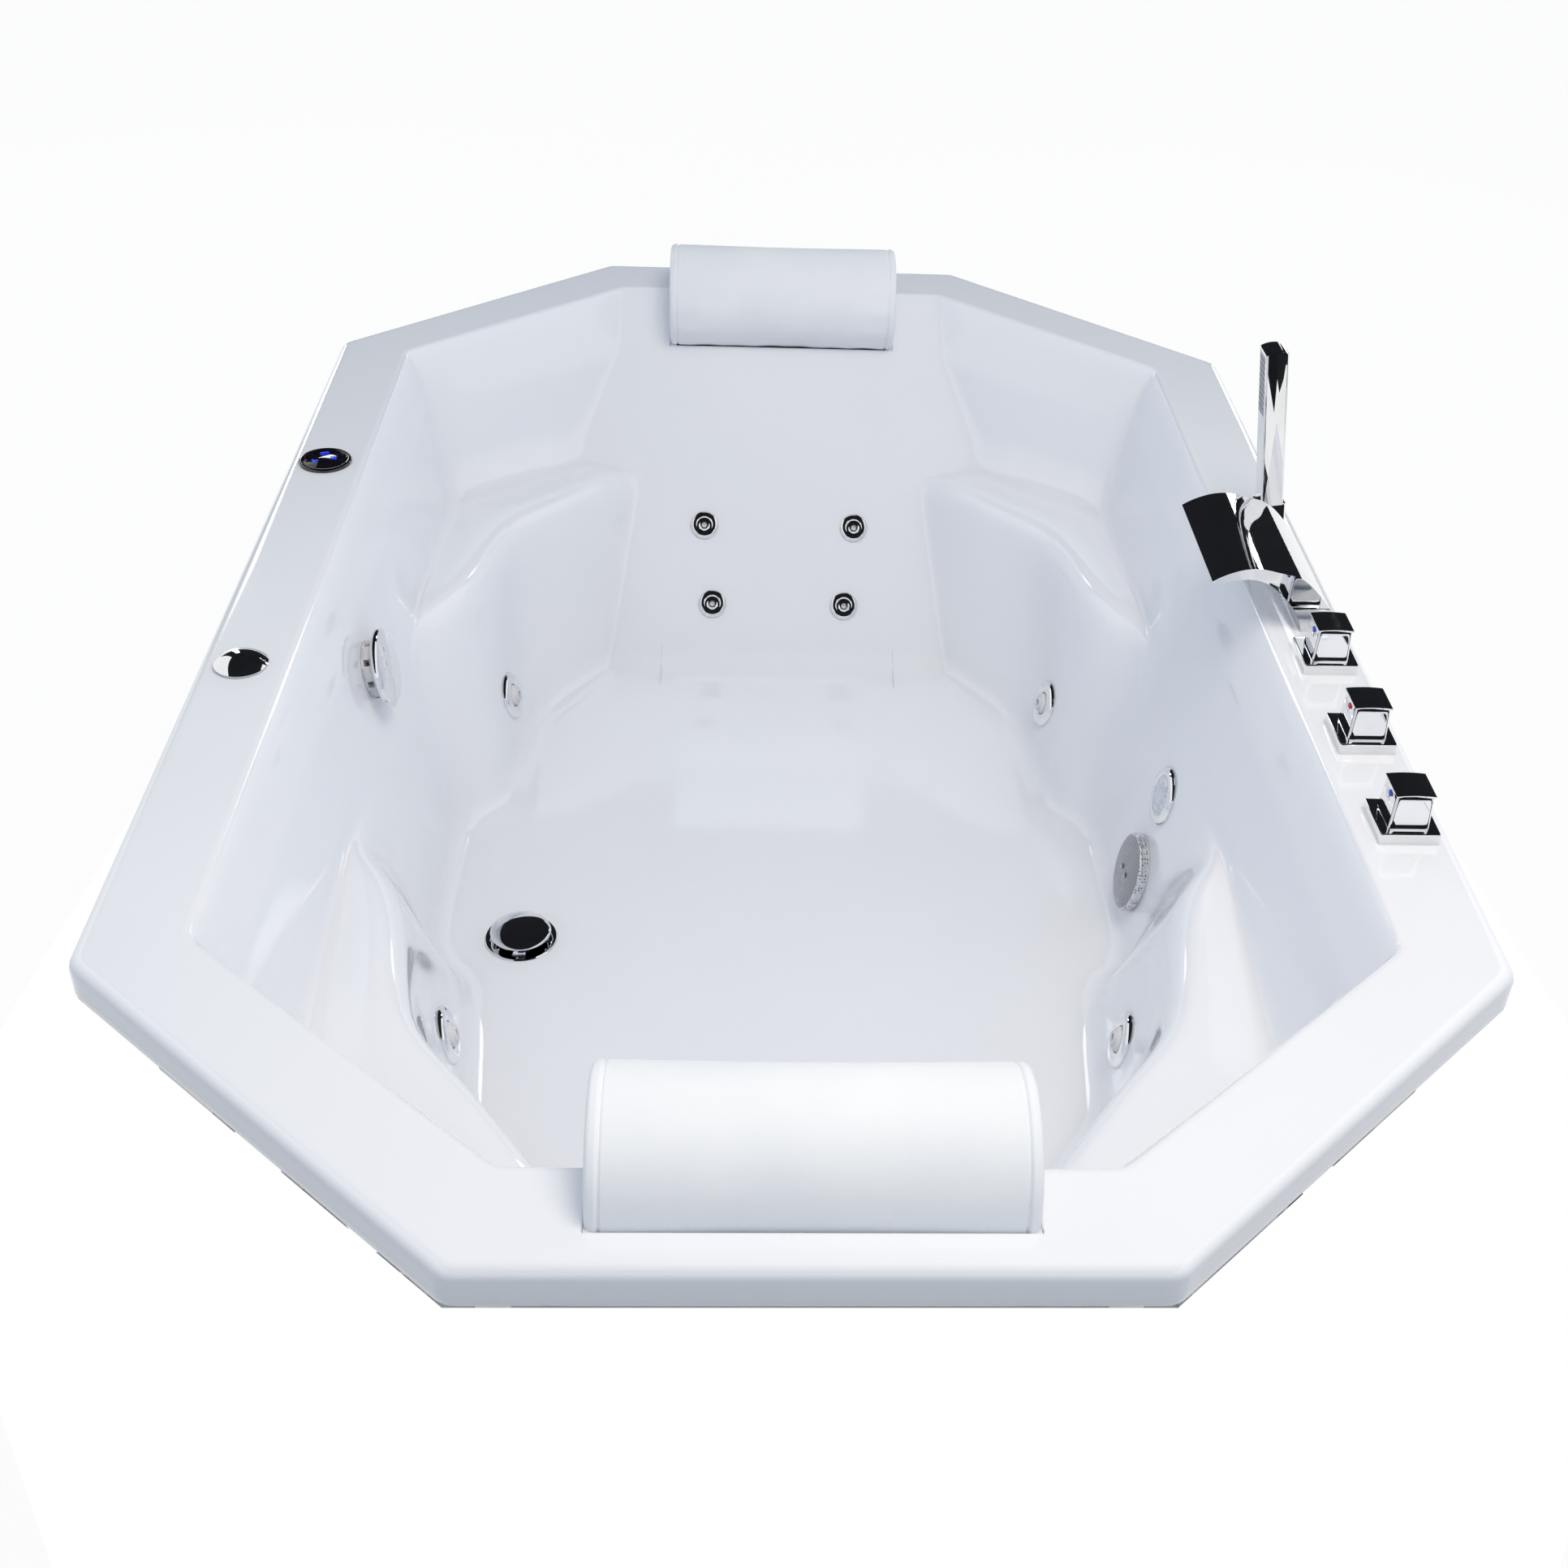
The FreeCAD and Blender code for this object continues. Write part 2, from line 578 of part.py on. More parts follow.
def run_corners(x, y, diagonal, z):
    leave, meet = diagonal
    quarter = [(x, leave), (meet, y)]
    points = quarter + [(-px, py) for px, py in quarter[::-1]] + [(-px, -py) for px, py in quarter]
    points += [(px, -py) for px, py in quarter[::-1]]
    return [V(px, py, z) for px, py in points]


def at(seat, x, y, z):
    """World point of a point in a seat's own frame."""
    return seat.multVec(V(x, y, z))


def heading(seat, x, y, z):
    return seat.Rotation.multVec(V(x, y, z))


# ---------------------------------------------------------------- wall fittings
NUT_RIM = 8.0               # nut wider than its thread
FLANGE = 3.0
THREAD_GAP = 0.1


def back_nut(body_r):
    """Ring nut behind the wall, with six finger notches."""
    nut = ring(body_r + NUT_RIM, body_r + THREAD_GAP, -LAND - NUT_THICK, -LAND)
    notches = []
    for k in range(6):
        a = math.radians(60 * k)
        r = body_r + NUT_RIM
        notches.append(Part.makeCylinder(2.5, NUT_THICK,
                                         V(r * math.cos(a), r * math.sin(a), -LAND - NUT_THICK)))
    return nut.cut(notches)


JET_WATER_Z = -30.0         # water boss of a side jet behind the wall
JET_BOSS = 8.0
JET_BORE_R = JET_BALL_R + RUN_GAP
JET_MOUTH_R = 15.5
NOZZLE_R = 8.5
NOZZLE_BORE_R = 5.0
NOZZLE_TIP = 12.0


def side_jet_body():
    body = Part.makeCylinder(JET_BODY_R, JET_BODY_LENGTH + FLANGE, V(0, 0, -JET_BODY_LENGTH))
    body = body.fuse(Part.makeCylinder(JET_R - 2, FLANGE))
    body = body.fuse(rod(WATER_HOSE_R, V(0, 0, JET_WATER_Z), V(0, JET_BODY_R + JET_BOSS, JET_WATER_Z)))
    body = body.fuse(rod(AIR_HOSE_R, V(0, 0, -JET_BODY_LENGTH - JET_BOSS), V(0, 0, -JET_BODY_LENGTH)))
    body = body.cut(Part.makeSphere(JET_BORE_R))
    body = body.cut(Part.makeCylinder(JET_BORE_R, FLANGE + 1))
    body = body.cut(Part.makeCylinder(12.0, JET_BODY_LENGTH - 4, V(0, 0, 4 - JET_BODY_LENGTH)))
    body = body.cut(rod(WATER_HOSE_R - HOSE_WALL, V(0, 0, JET_WATER_Z),
                        V(0, JET_BODY_R + JET_BOSS, JET_WATER_Z)))
    return body.cut(rod(AIR_HOSE_R - HOSE_WALL, V(0, 0, -JET_BODY_LENGTH - JET_BOSS),
                        V(0, 0, -JET_BODY_LENGTH + 5)))


def side_jet_ring():
    """Domed face ring that clips over the flange of a jet."""
    r = JET_R
    outline = [V(JET_MOUTH_R, 0, FLANGE), V(r - 2 + THREAD_GAP, 0, FLANGE),
               V(r - 2 + THREAD_GAP, 0, 0.2), V(r, 0, 0.2)]
    outline += [V(r, 0, 2.6), V(r - 2.5, 0, 5.4), V(r - 7, 0, 7.6), V(r - 12, 0, 7.2), V(JET_MOUTH_R, 0, 5.0)]
    return turned(outline)


def side_jet_nozzle():
    ball = Part.makeSphere(JET_BALL_R).cut(Part.makeBox(40, 40, 20, V(-20, -20, 9)))
    ball = ball.fuse(Part.makeCylinder(NOZZLE_R, NOZZLE_TIP))
    ball = ball.cut(Part.makeCylinder(NOZZLE_BORE_R, 60, V(0, 0, -30)))
    return ball.cut(Part.makeCone(8, NOZZLE_BORE_R, 8, V(0, 0, -16)))


BACK_JET_LENGTH = 30.0
BACK_JET_BORE_R = 4.0


def back_jet_body():
    body = Part.makeCylinder(BACK_JET_BODY_R, BACK_JET_LENGTH + 2, V(0, 0, -BACK_JET_LENGTH))
    body = body.fuse(Part.makeCylinder(BACK_JET_R - 1.5, 2))
    body = body.fuse(Part.makeCylinder(WATER_HOSE_R, JET_BOSS, V(0, 0, -BACK_JET_LENGTH - JET_BOSS)))
    body = body.cut(Part.makeCylinder(WATER_HOSE_R - HOSE_WALL, BACK_JET_LENGTH,
                                      V(0, 0, -BACK_JET_LENGTH - JET_BOSS)))
    return body.cut(Part.makeCylinder(BACK_JET_BORE_R, BACK_JET_LENGTH, V(0, 0, -12)))


def back_jet_face():
    r = BACK_JET_R
    outline = [V(BACK_JET_BORE_R, 0, 2), V(r - 1.5 + THREAD_GAP, 0, 2), V(r - 1.5 + THREAD_GAP, 0, 0.2),
               V(r, 0, 0.2)]
    outline += [V(r, 0, 2.2), V(r - 2, 0, 4.4), V(r - 6, 0, 5.4), V(9, 0, 3.6), V(7, 0, 5.2),
                V(BACK_JET_BORE_R, 0, 5.2)]
    return turned(outline)


LIGHT_DEPTH_BEHIND = 34.0
LENS_R = 24.0


def light_pieces():
    housing = Part.makeCylinder(LIGHT_BODY_R, LIGHT_DEPTH_BEHIND + 2, V(0, 0, -LIGHT_DEPTH_BEHIND))
    housing = housing.fuse(Part.makeCylinder(LIGHT_R - 2, 2))
    housing = housing.cut(Part.makeCylinder(LENS_R - 2, LIGHT_DEPTH_BEHIND, V(0, 0, 3 - LIGHT_DEPTH_BEHIND)))
    lens = turned([V(0, 0, 2), V(LENS_R, 0, 2), V(LENS_R, 0, 5), V(LENS_R - 6, 0, 7),
                   V(LENS_R - 14, 0, 8), V(0, 0, 8.4)])
    r = LIGHT_R
    bezel = turned([V(LENS_R + THREAD_GAP, 0, 2), V(r - 2 + THREAD_GAP, 0, 2),
                    V(r - 2 + THREAD_GAP, 0, 0.2), V(r, 0, 0.2),
                    V(r, 0, 2.6), V(r - 3, 0, 5.6), V(LENS_R + 3, 0, 6.6), V(LENS_R + THREAD_GAP, 0, 5.2)])
    return [placed(s, light_seat) for s in (housing, lens, bezel)]


SUCTION_LENGTH = 64.0
SUCTION_PORT_Z = -40.0
SUCTION_PORT = 44.0         # end of its side port from the axis
COVER_HEIGHT = 13.0
COVER_SLOTS = 20
SCREW_R = 2.0
SCREW_CIRCLE = 36.0


def suction_pieces():
    body = Part.makeCylinder(SUCTION_BODY_R, SUCTION_LENGTH + FLANGE, V(0, 0, -SUCTION_LENGTH))
    body = body.fuse(Part.makeCylinder(SUCTION_R - 2, FLANGE))
    body = body.fuse(rod(SUCTION_PIPE_R, V(0, 0, SUCTION_PORT_Z), V(SUCTION_PORT, 0, SUCTION_PORT_Z)))
    body = body.cut(Part.makeCylinder(SUCTION_BODY_R - 4, SUCTION_LENGTH + 10, V(0, 0, 3 - SUCTION_LENGTH)))
    body = body.cut(rod(SUCTION_PIPE_R - PIPE_WALL, V(0, 0, SUCTION_PORT_Z),
                        V(SUCTION_PORT + 1, 0, SUCTION_PORT_Z)))
    r = SUCTION_R
    rise = FLANGE + COVER_HEIGHT
    cover = turned([V(0, 0, rise - 3), V(r - 12, 0, rise - 4.5), V(r - 4, 0, rise - 8),
                    V(r - 4, 0, FLANGE), V(r, 0, FLANGE),
                    V(r, 0, rise - 7), V(r - 3, 0, rise - 3.4), V(r - 11, 0, rise - 1), V(0, 0, rise)])
    slots = []
    for k in range(COVER_SLOTS):
        slot = box(17, r - 7, -1.3, 1.3, FLANGE, rise + 5)
        slot.rotate(V(0, 0, 0), Z, 360.0 * k / COVER_SLOTS)
        slots.append(slot)
    cover = cover.cut(slots)
    screws = []
    pillars = []
    for sign in (-1, 1):
        x = sign * 9.0
        pillars.append(Part.makeCylinder(4.0, rise - 3.5 - 0.0, V(x, 0, 0)))
        cover = cover.cut(Part.makeCylinder(SCREW_R + 0.1, 30, V(x, 0, 0)))
        head = Part.makeCylinder(3.4, 1.6, V(x, 0, rise))
        head = head.fuse(Part.makeCylinder(SCREW_R, 12, V(x, 0, rise - 12)))
        screws.append(head.cut(box(x - 4, x + 4, -0.5, 0.5, rise + 0.8, rise + 2)))
    bar = box(-SUCTION_BODY_R + 3, SUCTION_BODY_R - 3, -4, 4, -2, 3)
    for p in pillars:
        bar = bar.fuse(p)
    bar = bar.common(turned([V(0, 0, -2), V(r, 0, -2), V(r, 0, rise - 8), V(r - 12, 0, rise - 4.5),
                             V(0, 0, rise - 3)]))
    bar = bar.cut([s.common(Part.makeCylinder(40, 60, V(0, 0, -40))) for s in screws])
    body = body.fuse(bar).removeSplitter()
    return body, cover, group(screws)


OVERFLOW_STAND = 22.0       # front of the knob from the wall
OVERFLOW_KNOB_THICK = 8.0
OVERFLOW_SHAFT_R = 5.0
OVERFLOW_LENGTH = 52.0
OVERFLOW_PORT_Z = -36.0


def overflow_pieces():
    r = OVERFLOW_R
    back = OVERFLOW_STAND - OVERFLOW_KNOB_THICK
    body = Part.makeCylinder(OVERFLOW_BODY_R, OVERFLOW_LENGTH, V(0, 0, -OVERFLOW_LENGTH))
    body = body.fuse(Part.makeCylinder(r - 12, back - 1))
    body = body.fuse(rod(OVERFLOW_PIPE_R + 2.5, V(0, 0, OVERFLOW_PORT_Z), V(0, -28, OVERFLOW_PORT_Z)))
    body = body.cut(Part.makeCylinder(OVERFLOW_BODY_R - 3, OVERFLOW_LENGTH + 4, V(0, 0, 3 - OVERFLOW_LENGTH)))
    body = body.cut(rod(OVERFLOW_PIPE_R, V(0, 0, OVERFLOW_PORT_Z), V(0, -30, OVERFLOW_PORT_Z)))
    for k in range(8):          # water inlets round the collar
        slot = box(OVERFLOW_BODY_R - 5, r, -4, 4, 3, back - 4)
        slot.rotate(V(0, 0, 0), Z, 45.0 * k)
        body = body.cut(slot)
    bridge = box(-OVERFLOW_BODY_R + 2, OVERFLOW_BODY_R - 2, -4, 4, -4, 2)
    bridge = bridge.fuse(Part.makeCylinder(9, 6, V(0, 0, -4)))
    body = body.fuse(bridge).cut(Part.makeCylinder(OVERFLOW_SHAFT_R + SHAFT_GAP, 30, V(0, 0, -10)))
    knob = turned([V(0, 0, back), V(r - 3, 0, back), V(r, 0, back + 2), V(r, 0, OVERFLOW_STAND - 2.5),
                   V(r - 2.5, 0, OVERFLOW_STAND), V(0, 0, OVERFLOW_STAND)])
    knob = knob.fuse(Part.makeCylinder(OVERFLOW_SHAFT_R, back + 22, V(0, 0, -22)))
    knob = knob.fuse(box(-2.5, 2.5, OVERFLOW_SHAFT_R - 2, 12, -21, -15))
    return placed(body, overflow_seat), placed(knob, overflow_seat)


# ---------------------------------------------------------------- drain
CAP_RISE = 10.3             # underside of the cap above the floor of the tub
CAP_LIFT = 7.0              # the same distance, less the closed cap's height above the flange
CAP_THICK = 4.0
STEM_R = 4.0
DRAIN_LENGTH = 58.0
TRAP_R = 32.0
TRAP_Z = (31.0, 85.0)
DRAIN_BRANCH_Z = 115.0
WASTE_END = 150.0           # end of the outlet from the drain's axis
WASTE_SPIGOT = 50.0         # length of the plain end that the waste pipe is pushed on
WASTE_SHOULDER = 4.0        # step behind the spigot


def drain_pieces():
    flange = ring(DRAIN_FLANGE_R, DRAIN_BODY_R - 4, FLOOR_Z, FLOOR_Z + 3)
    flange = flange.makeChamfer(1.2, [e for e in flange.Edges if e.BoundBox.ZMin > FLOOR_Z + 2
                                      and e.BoundBox.XLength > 2 * DRAIN_BODY_R])
    flange = flange.fuse(ring(DRAIN_BODY_R - 4, DRAIN_BODY_R - 7, FLOOR_Z - 20, FLOOR_Z + 3))
    spider = box(-DRAIN_BODY_R + 5, DRAIN_BODY_R - 5, -2, 2, FLOOR_Z - 8, FLOOR_Z - 3)
    spider = spider.fuse(box(-2, 2, -DRAIN_BODY_R + 5, DRAIN_BODY_R - 5, FLOOR_Z - 8, FLOOR_Z - 3))
    spider = spider.fuse(ring(STEM_R + 3, STEM_R, FLOOR_Z - 12, FLOOR_Z - 3))
    flange = flange.fuse(spider).cut(Part.makeCylinder(STEM_R + SHAFT_GAP, 40,
                                                       V(0, 0, FLOOR_Z - 30))).removeSplitter()
    low = FLOOR_Z + CAP_RISE
    r = DRAIN_CAP_R
    cap = turned([V(0, 0, low), V(r - 4, 0, low), V(r, 0, low + 2), V(r - 1, 0, low + 4),
                  V(r - 8, 0, low + CAP_THICK + 1.5),
                  V(r - 22, 0, low + CAP_THICK + 2.6), V(0, 0, low + CAP_THICK + 3)])
    cap = cap.fuse(Part.makeCylinder(STEM_R, 34, V(0, 0, low - 34)))
    body = ring(DRAIN_BODY_R, DRAIN_BODY_R - 4, TRAP_Z[1], FLOOR_Z)
    toward_overflow = V(-0.91, 0.4146, 0)
    level = V(0, 0, DRAIN_BRANCH_Z)
    body = body.fuse(rod(OVERFLOW_PIPE_R, level, level + toward_overflow * 46))
    body = body.cut(Part.makeCylinder(DRAIN_BODY_R - 4, 80, V(0, 0, TRAP_Z[1] - 1)))
    body = body.cut(rod(OVERFLOW_PIPE_R - PIPE_WALL, level, level + toward_overflow * 50))
    nut = hexagon(56, FLOOR_UNDER - NUT_THICK,
                  FLOOR_UNDER).cut(Part.makeCylinder(DRAIN_BODY_R + THREAD_GAP, 40, V(0, 0, 120)))
    z0, z1 = TRAP_Z
    trap = ring(TRAP_R, TRAP_R - 3, z0, z1).fuse(Part.makeCylinder(TRAP_R, 3, V(0, 0, z0)))
    trap = trap.fuse(ring(TRAP_R, DRAIN_BODY_R - 4, z1 - 4, z1))
    trap = trap.fuse(ring(DRAIN_BODY_R - 4, DRAIN_BODY_R - 6.5, z0 + 14, z1))
    outlet = V(0, 0, z1 - 34)
    inner_end = outlet + V(0, -TRAP_R + 6, 0)
    spout = rod(WASTE_R, inner_end, outlet + V(0, -WASTE_END, 0))
    spout = spout.fuse(rod(WASTE_R + WASTE_SHOULDER, inner_end, outlet + V(0, WASTE_SPIGOT - WASTE_END, 0)))
    trap = trap.fuse(spout.cut(Part.makeCylinder(TRAP_R - 3, 60, V(0, 0, z0))))
    trap = trap.cut(rod(WASTE_R - PIPE_WALL, outlet + V(0, -TRAP_R + 8, 0), outlet + V(0, -WASTE_END - 1, 0)))
    out = []
    for s in (flange, cap, body, nut, trap):
        s.translate(V(DRAIN_X, DRAIN_Y, 0))
        out.append(s)
    return out


# ---------------------------------------------------------------- deck fittings
def square(side, z0, z1, x=0.0, y=0.0, round_by=0.0):
    s = box(x - side / 2, x + side / 2, y - side / 2, y + side / 2, z0, z1)
    if round_by:
        s = s.makeFillet(round_by, [e for e in s.Edges if e.BoundBox.ZLength > (z1 - z0) / 2])
    return s


def smooth(points):
    curve = Part.BSplineCurve()
    curve.interpolate(points)
    return curve.toShape()


DOT_DROP = 7.0              # centre of the dot below the underside of the cap
DOT_PROUD = 0.5
DOT_DEEP = 1.5


def dot():
    z = RUN_GAP + PLATE_THICK + HANDLE_HEIGHT - HANDLE_CAP - DOT_DROP
    slope = (HANDLE_FOOT - HANDLE_TOP) / 2 / (HANDLE_HEIGHT - HANDLE_CAP)
    face = -HANDLE_TOP / 2 - slope * DOT_DROP
    return rod(DOT_R, V(face + DOT_DEEP, 0, z), V(face - DOT_PROUD, 0, z))


def handle():
    """Tapered square handle with a thin overhanging top and a marker dot let into its face."""
    base = RUN_GAP + PLATE_THICK
    wires = []
    for side, z in ((HANDLE_FOOT, base), (HANDLE_TOP, base + HANDLE_HEIGHT - HANDLE_CAP)):
        h = side / 2
        wires.append(Part.makePolygon([V(-h, -h, z), V(h, -h, z), V(h, h, z), V(-h, h, z), V(-h, -h, z)]))
    solid = Part.makeLoft(wires, True, True)
    solid = solid.makeFillet(2.0, [e for e in solid.Edges if e.BoundBox.ZLength > HANDLE_HEIGHT / 2])
    z = base + HANDLE_HEIGHT - HANDLE_CAP
    h = HANDLE_FOOT / 2 - 0.5
    profile = [V(-h, -h, z), V(h, -h, z), V(h, -h, z + HANDLE_CAP - 1.2)]
    top = Part.Arc(V(h, -h, z + HANDLE_CAP - 1.2), V(0, -h, z + HANDLE_CAP),
                   V(-h, -h, z + HANDLE_CAP - 1.2)).toShape()
    wire = Part.Wire([Part.makePolygon(profile), top,
                      Part.makeLine(V(-h, -h, z + HANDLE_CAP - 1.2), V(-h, -h, z))])
    cap = Part.Face(wire).extrude(V(0, 2 * h, 0))
    solid = solid.fuse(cap)
    bore = Part.makeCylinder(SPINDLE_R + SHAFT_GAP, HANDLE_HEIGHT - 8, V(0, 0, base - 1))
    return group([solid.cut([bore, dot()]), dot()])


def valve_body():
    """Brass block under the deck with its threaded neck and spindle."""
    drop = BLOCK_DROP
    block = square(BLOCK, -drop - BLOCK, -drop, round_by=3.0)
    block = block.fuse(Part.makeCylinder(VALVE_R, drop + PLATE_THICK - 2, V(0, 0, -drop)))
    block = block.fuse(Part.makeCylinder(SPINDLE_R, PLATE_THICK + HANDLE_HEIGHT - 10 + 2, V(0, 0, -2)))
    return block


def plate():
    p = square(PLATE_SIDE, 0, PLATE_THICK, round_by=2.0)
    p = p.makeFillet(1.5, [e for e in p.Edges if e.BoundBox.ZMin > PLATE_THICK - 0.1])
    neck = Part.makeCylinder(VALVE_R + THREAD_GAP, PLATE_THICK - 2 + THREAD_GAP, V(0, 0, 0))
    return p.cut([neck, Part.makeCylinder(SPINDLE_R + THREAD_GAP, PLATE_THICK + 1)])


def deck_nut(across, bore):
    return hexagon(across, -ACRYLIC - NUT_THICK,
                   -ACRYLIC).cut(Part.makeCylinder(bore + THREAD_GAP, 40, V(0, 0, -30)))


def mixing_pipes():
    """Brass pipes from block to block, and the stubs for the hot and cold supply."""
    y = [v for v in VALVE_Y] + [0.0, HANDSET_Y]
    z = BLOCK_MID
    pipes = []
    for a, b in zip(y, y[1:]):
        pipes.append(pipe(TAP_PIPE_R, TAP_PIPE_R - 1.5, V(FITTING_X, a + BLOCK / 2, z),
                          V(FITTING_X, b - BLOCK / 2, z)))
    stubs = []
    for a in y[:2]:
        low = BLOCK_TOP - BLOCK
        stubs.append(pipe(STUB_R, STUB_R - 2.5, V(FITTING_X, a, low - STUB_LENGTH), V(FITTING_X, a, low)))
    return group(pipes), group(stubs)


def blend(a, b, share):
    return V(a[0] + (b[0] - a[0]) * share, 0, a[1] + (b[1] - a[1]) * share)


def spout_pieces():
    """Crescent waterfall spout, with a flat channel from its foot to the lip."""
    half = SPOUT_WIDTH / 2

    def crescent(low, high, width, cut_lip):
        top = [blend(o, u, low) for o, u in zip(SPOUT_OUTER, SPOUT_UNDER)]
        under = [blend(o, u, high) for o, u in zip(SPOUT_OUTER, SPOUT_UNDER)]
        if cut_lip:
            top[0] = top[0] + V(-6, 0, -2.6)
            under[0] = under[0] + V(-6, 0, -2.6)
        wire = Part.Wire([smooth(top), Part.makeLine(top[-1], under[-1]), smooth(under[::-1]),
                          Part.makeLine(under[0], top[0])])
        s = Part.Face(wire).extrude(V(0, width, 0))
        s.translate(V(0, -width / 2, 0))
        return s

    body = crescent(0.0, 1.0, SPOUT_WIDTH, False)
    channel = crescent(0.3, 0.72, SPOUT_WIDTH - 2 * SPOUT_WALL, True)
    channel = channel.cut(box(-200, 200, -half, half, -5, 14))
    body = body.cut(channel)
    body = body.cut(Part.makeCylinder(SHANK_R - 3, 20, V(2, 0, -1)))
    body = body.fuse(ring(SHANK_R, SHANK_R - 3, -BLOCK_DROP, 0.5))
    block = square(BLOCK, -BLOCK_DROP - BLOCK, -BLOCK_DROP, round_by=3.0)
    block = block.cut(Part.makeCylinder(SHANK_R - 3, BLOCK / 2, V(0, 0, -BLOCK_DROP - BLOCK / 2)))
    seal = ring(SHANK_R + 6, SHANK_R + THREAD_GAP, -ACRYLIC - 2, -ACRYLIC)
    return body, block, seal


def tilted(shape):
    s = shape.copy()
    s.rotate(V(0, 0, HANDSET_FOOT), V(0, 1, 0), -HANDSET_TILT)
    return s


def handset_pieces():
    """Square hand shower standing in its holder, leaning over the tub."""
    x, y, low, high = HANDSET_X / 2, HANDSET_DEPTH / 2, HANDSET_FOOT, HANDSET_TOP
    profile = [V(-x, -y, high - HANDSET_CROWN), V(-x, -y, low), V(x, -y, low), V(x, -y, high - HANDSET_CROWN)]
    crown = Part.Arc(profile[-1], V(0, -y, high), profile[0]).toShape()
    stick = Part.Face(Part.Wire([Part.makePolygon(profile), crown])).extrude(V(0, 2 * y, 0))
    stick = stick.makeFillet(2.5, [e for e in stick.Edges if e.BoundBox.ZLength > 100])
    stick = stick.fuse(Part.makeCylinder(SPIGOT_R, SPIGOT_LENGTH, V(0, 0, low - SPIGOT_LENGTH)))
    recess_box = box(-x - 1, -x + 1.0, -y + 4, y - 4, high - HANDSET_CROWN - 4 - SPRAY_LENGTH,
                     high - HANDSET_CROWN - 4)
    stick = stick.cut(recess_box)
    face = box(-x, -x + 1.0, -y + 4.2, y - 4.2, high - HANDSET_CROWN - 3.8 - SPRAY_LENGTH,
               high - HANDSET_CROWN - 4.2)
    holes = []
    for row in range(9):
        for column in range(3):
            hole_z = high - HANDSET_CROWN - 11 - 7 * row
            holes.append(Part.makeCylinder(SPRAY_HOLE_R, 4, V(-x - 2, 7.0 * (column - 1), hole_z),
                                           V(1, 0, 0)))
    face = face.cut(holes)
    holder = square(HOLDER_SIDE, 0, HOLDER_PLATE, round_by=2.0)
    collar = tilted(square(HANDSET_DEPTH, HOLDER_PLATE - 8, HANDSET_FOOT - RUN_GAP, round_by=3.0))
    holder = holder.fuse(collar.common(box(-60, 60, -60, 60, 0, 80)))
    holder = holder.fuse(Part.makeCylinder(GUIDE_R, BLOCK_DROP, V(0, 0, -BLOCK_DROP)))
    holder = holder.cut(tilted(Part.makeCylinder(SPIGOT_R + SHAFT_GAP, 80,
                                                 V(0, 0, HANDSET_FOOT - SPIGOT_LENGTH - 1))))
    block = square(BLOCK, -BLOCK_DROP - BLOCK, -BLOCK_DROP, round_by=3.0)
    return tilted(stick), tilted(face), holder, block


PANEL_DEPTH = 34.0


def panel_pieces():
    r = PANEL_R
    t = PANEL_THICK
    bezel = turned([V(r - 5, 0, 0), V(r, 0, 0), V(r, 0, t - 1.5), V(r - 1.5, 0, t), V(r - 4, 0, t),
                    V(r - 5, 0, t - 1)])
    case = Part.makeCylinder(PANEL_BODY_R - 1.5, PANEL_DEPTH, V(0, 0, -PANEL_DEPTH))
    case = case.fuse(Part.makeCylinder(r - 5 - THREAD_GAP, 1.5))
    case = case.cut(Part.makeCylinder(PANEL_BODY_R - 4, PANEL_DEPTH - 2.5, V(0, 0, -PANEL_DEPTH + 2.5)))
    case = case.cut(Part.makeCylinder(PANEL_BODY_R - 4, 2, V(0, 0, 0)))
    glass = Part.makeCylinder(r - 5 - THREAD_GAP, t - 2.5, V(0, 0, 1.5))
    return bezel, case, glass


DIAL_SKIRT = 3.0
DIAL_DEPTH = 42.0


def dial_pieces():
    body = Part.makeCylinder(DIAL_BODY_R, DIAL_DEPTH, V(0, 0, -DIAL_DEPTH))
    body = body.fuse(Part.makeCylinder(DIAL_R - 1, DIAL_SKIRT))
    body = body.fuse(Part.makeCylinder(9.0, DIAL_HEIGHT - 5, V(0, 0, 0)))
    body = body.cut(Part.makeCylinder(AIR_R - HOSE_WALL, DIAL_DEPTH - 6, V(0, 0, -DIAL_DEPTH)))
    base = DIAL_SKIRT + RUN_GAP
    h = DIAL_HEIGHT - base
    radius = (DIAL_R * DIAL_R + h * h) / (2 * h)
    dome = Part.makeSphere(radius, V(0, 0, DIAL_HEIGHT - radius)).common(Part.makeCylinder(DIAL_R,
                                                                                           h + 1,
                                                                                           V(0, 0, base)))
    dome = dome.cut(Part.makeCylinder(9.0 + SHAFT_GAP, DIAL_HEIGHT - 5 + RUN_GAP))
    dome = dome.cut(box(DIAL_R - 7, DIAL_R - 2, -0.6, 0.6, 5.0, 20.0))
    return body, dome


# ---------------------------------------------------------------- frame, feet, pump
def frame_tube(a, b):
    """Square tube from a to b along an axis, open at both ends."""
    low = V(min(a.x, b.x), min(a.y, b.y), min(a.z, b.z))
    high = V(max(a.x, b.x), max(a.y, b.y), max(a.z, b.z))
    along = [d > 1 for d in (high - low)]

    def solid(across, overrun):
        g = [overrun if a else across for a in along]
        return box(low.x - g[0], high.x + g[0], low.y - g[1], high.y + g[1], low.z - g[2], high.z + g[2])

    return solid(TUBE / 2, 0).cut(solid(TUBE / 2 - TUBE_WALL, 1))


def cross_half():
    return {SIDE_POST_Y: HALF_W - POST_INSET, CORNER_POST_Y: CORNER_POST_X + TUBE / 2,
            SHELF_RAIL_Y: SHELF_RAIL_X}


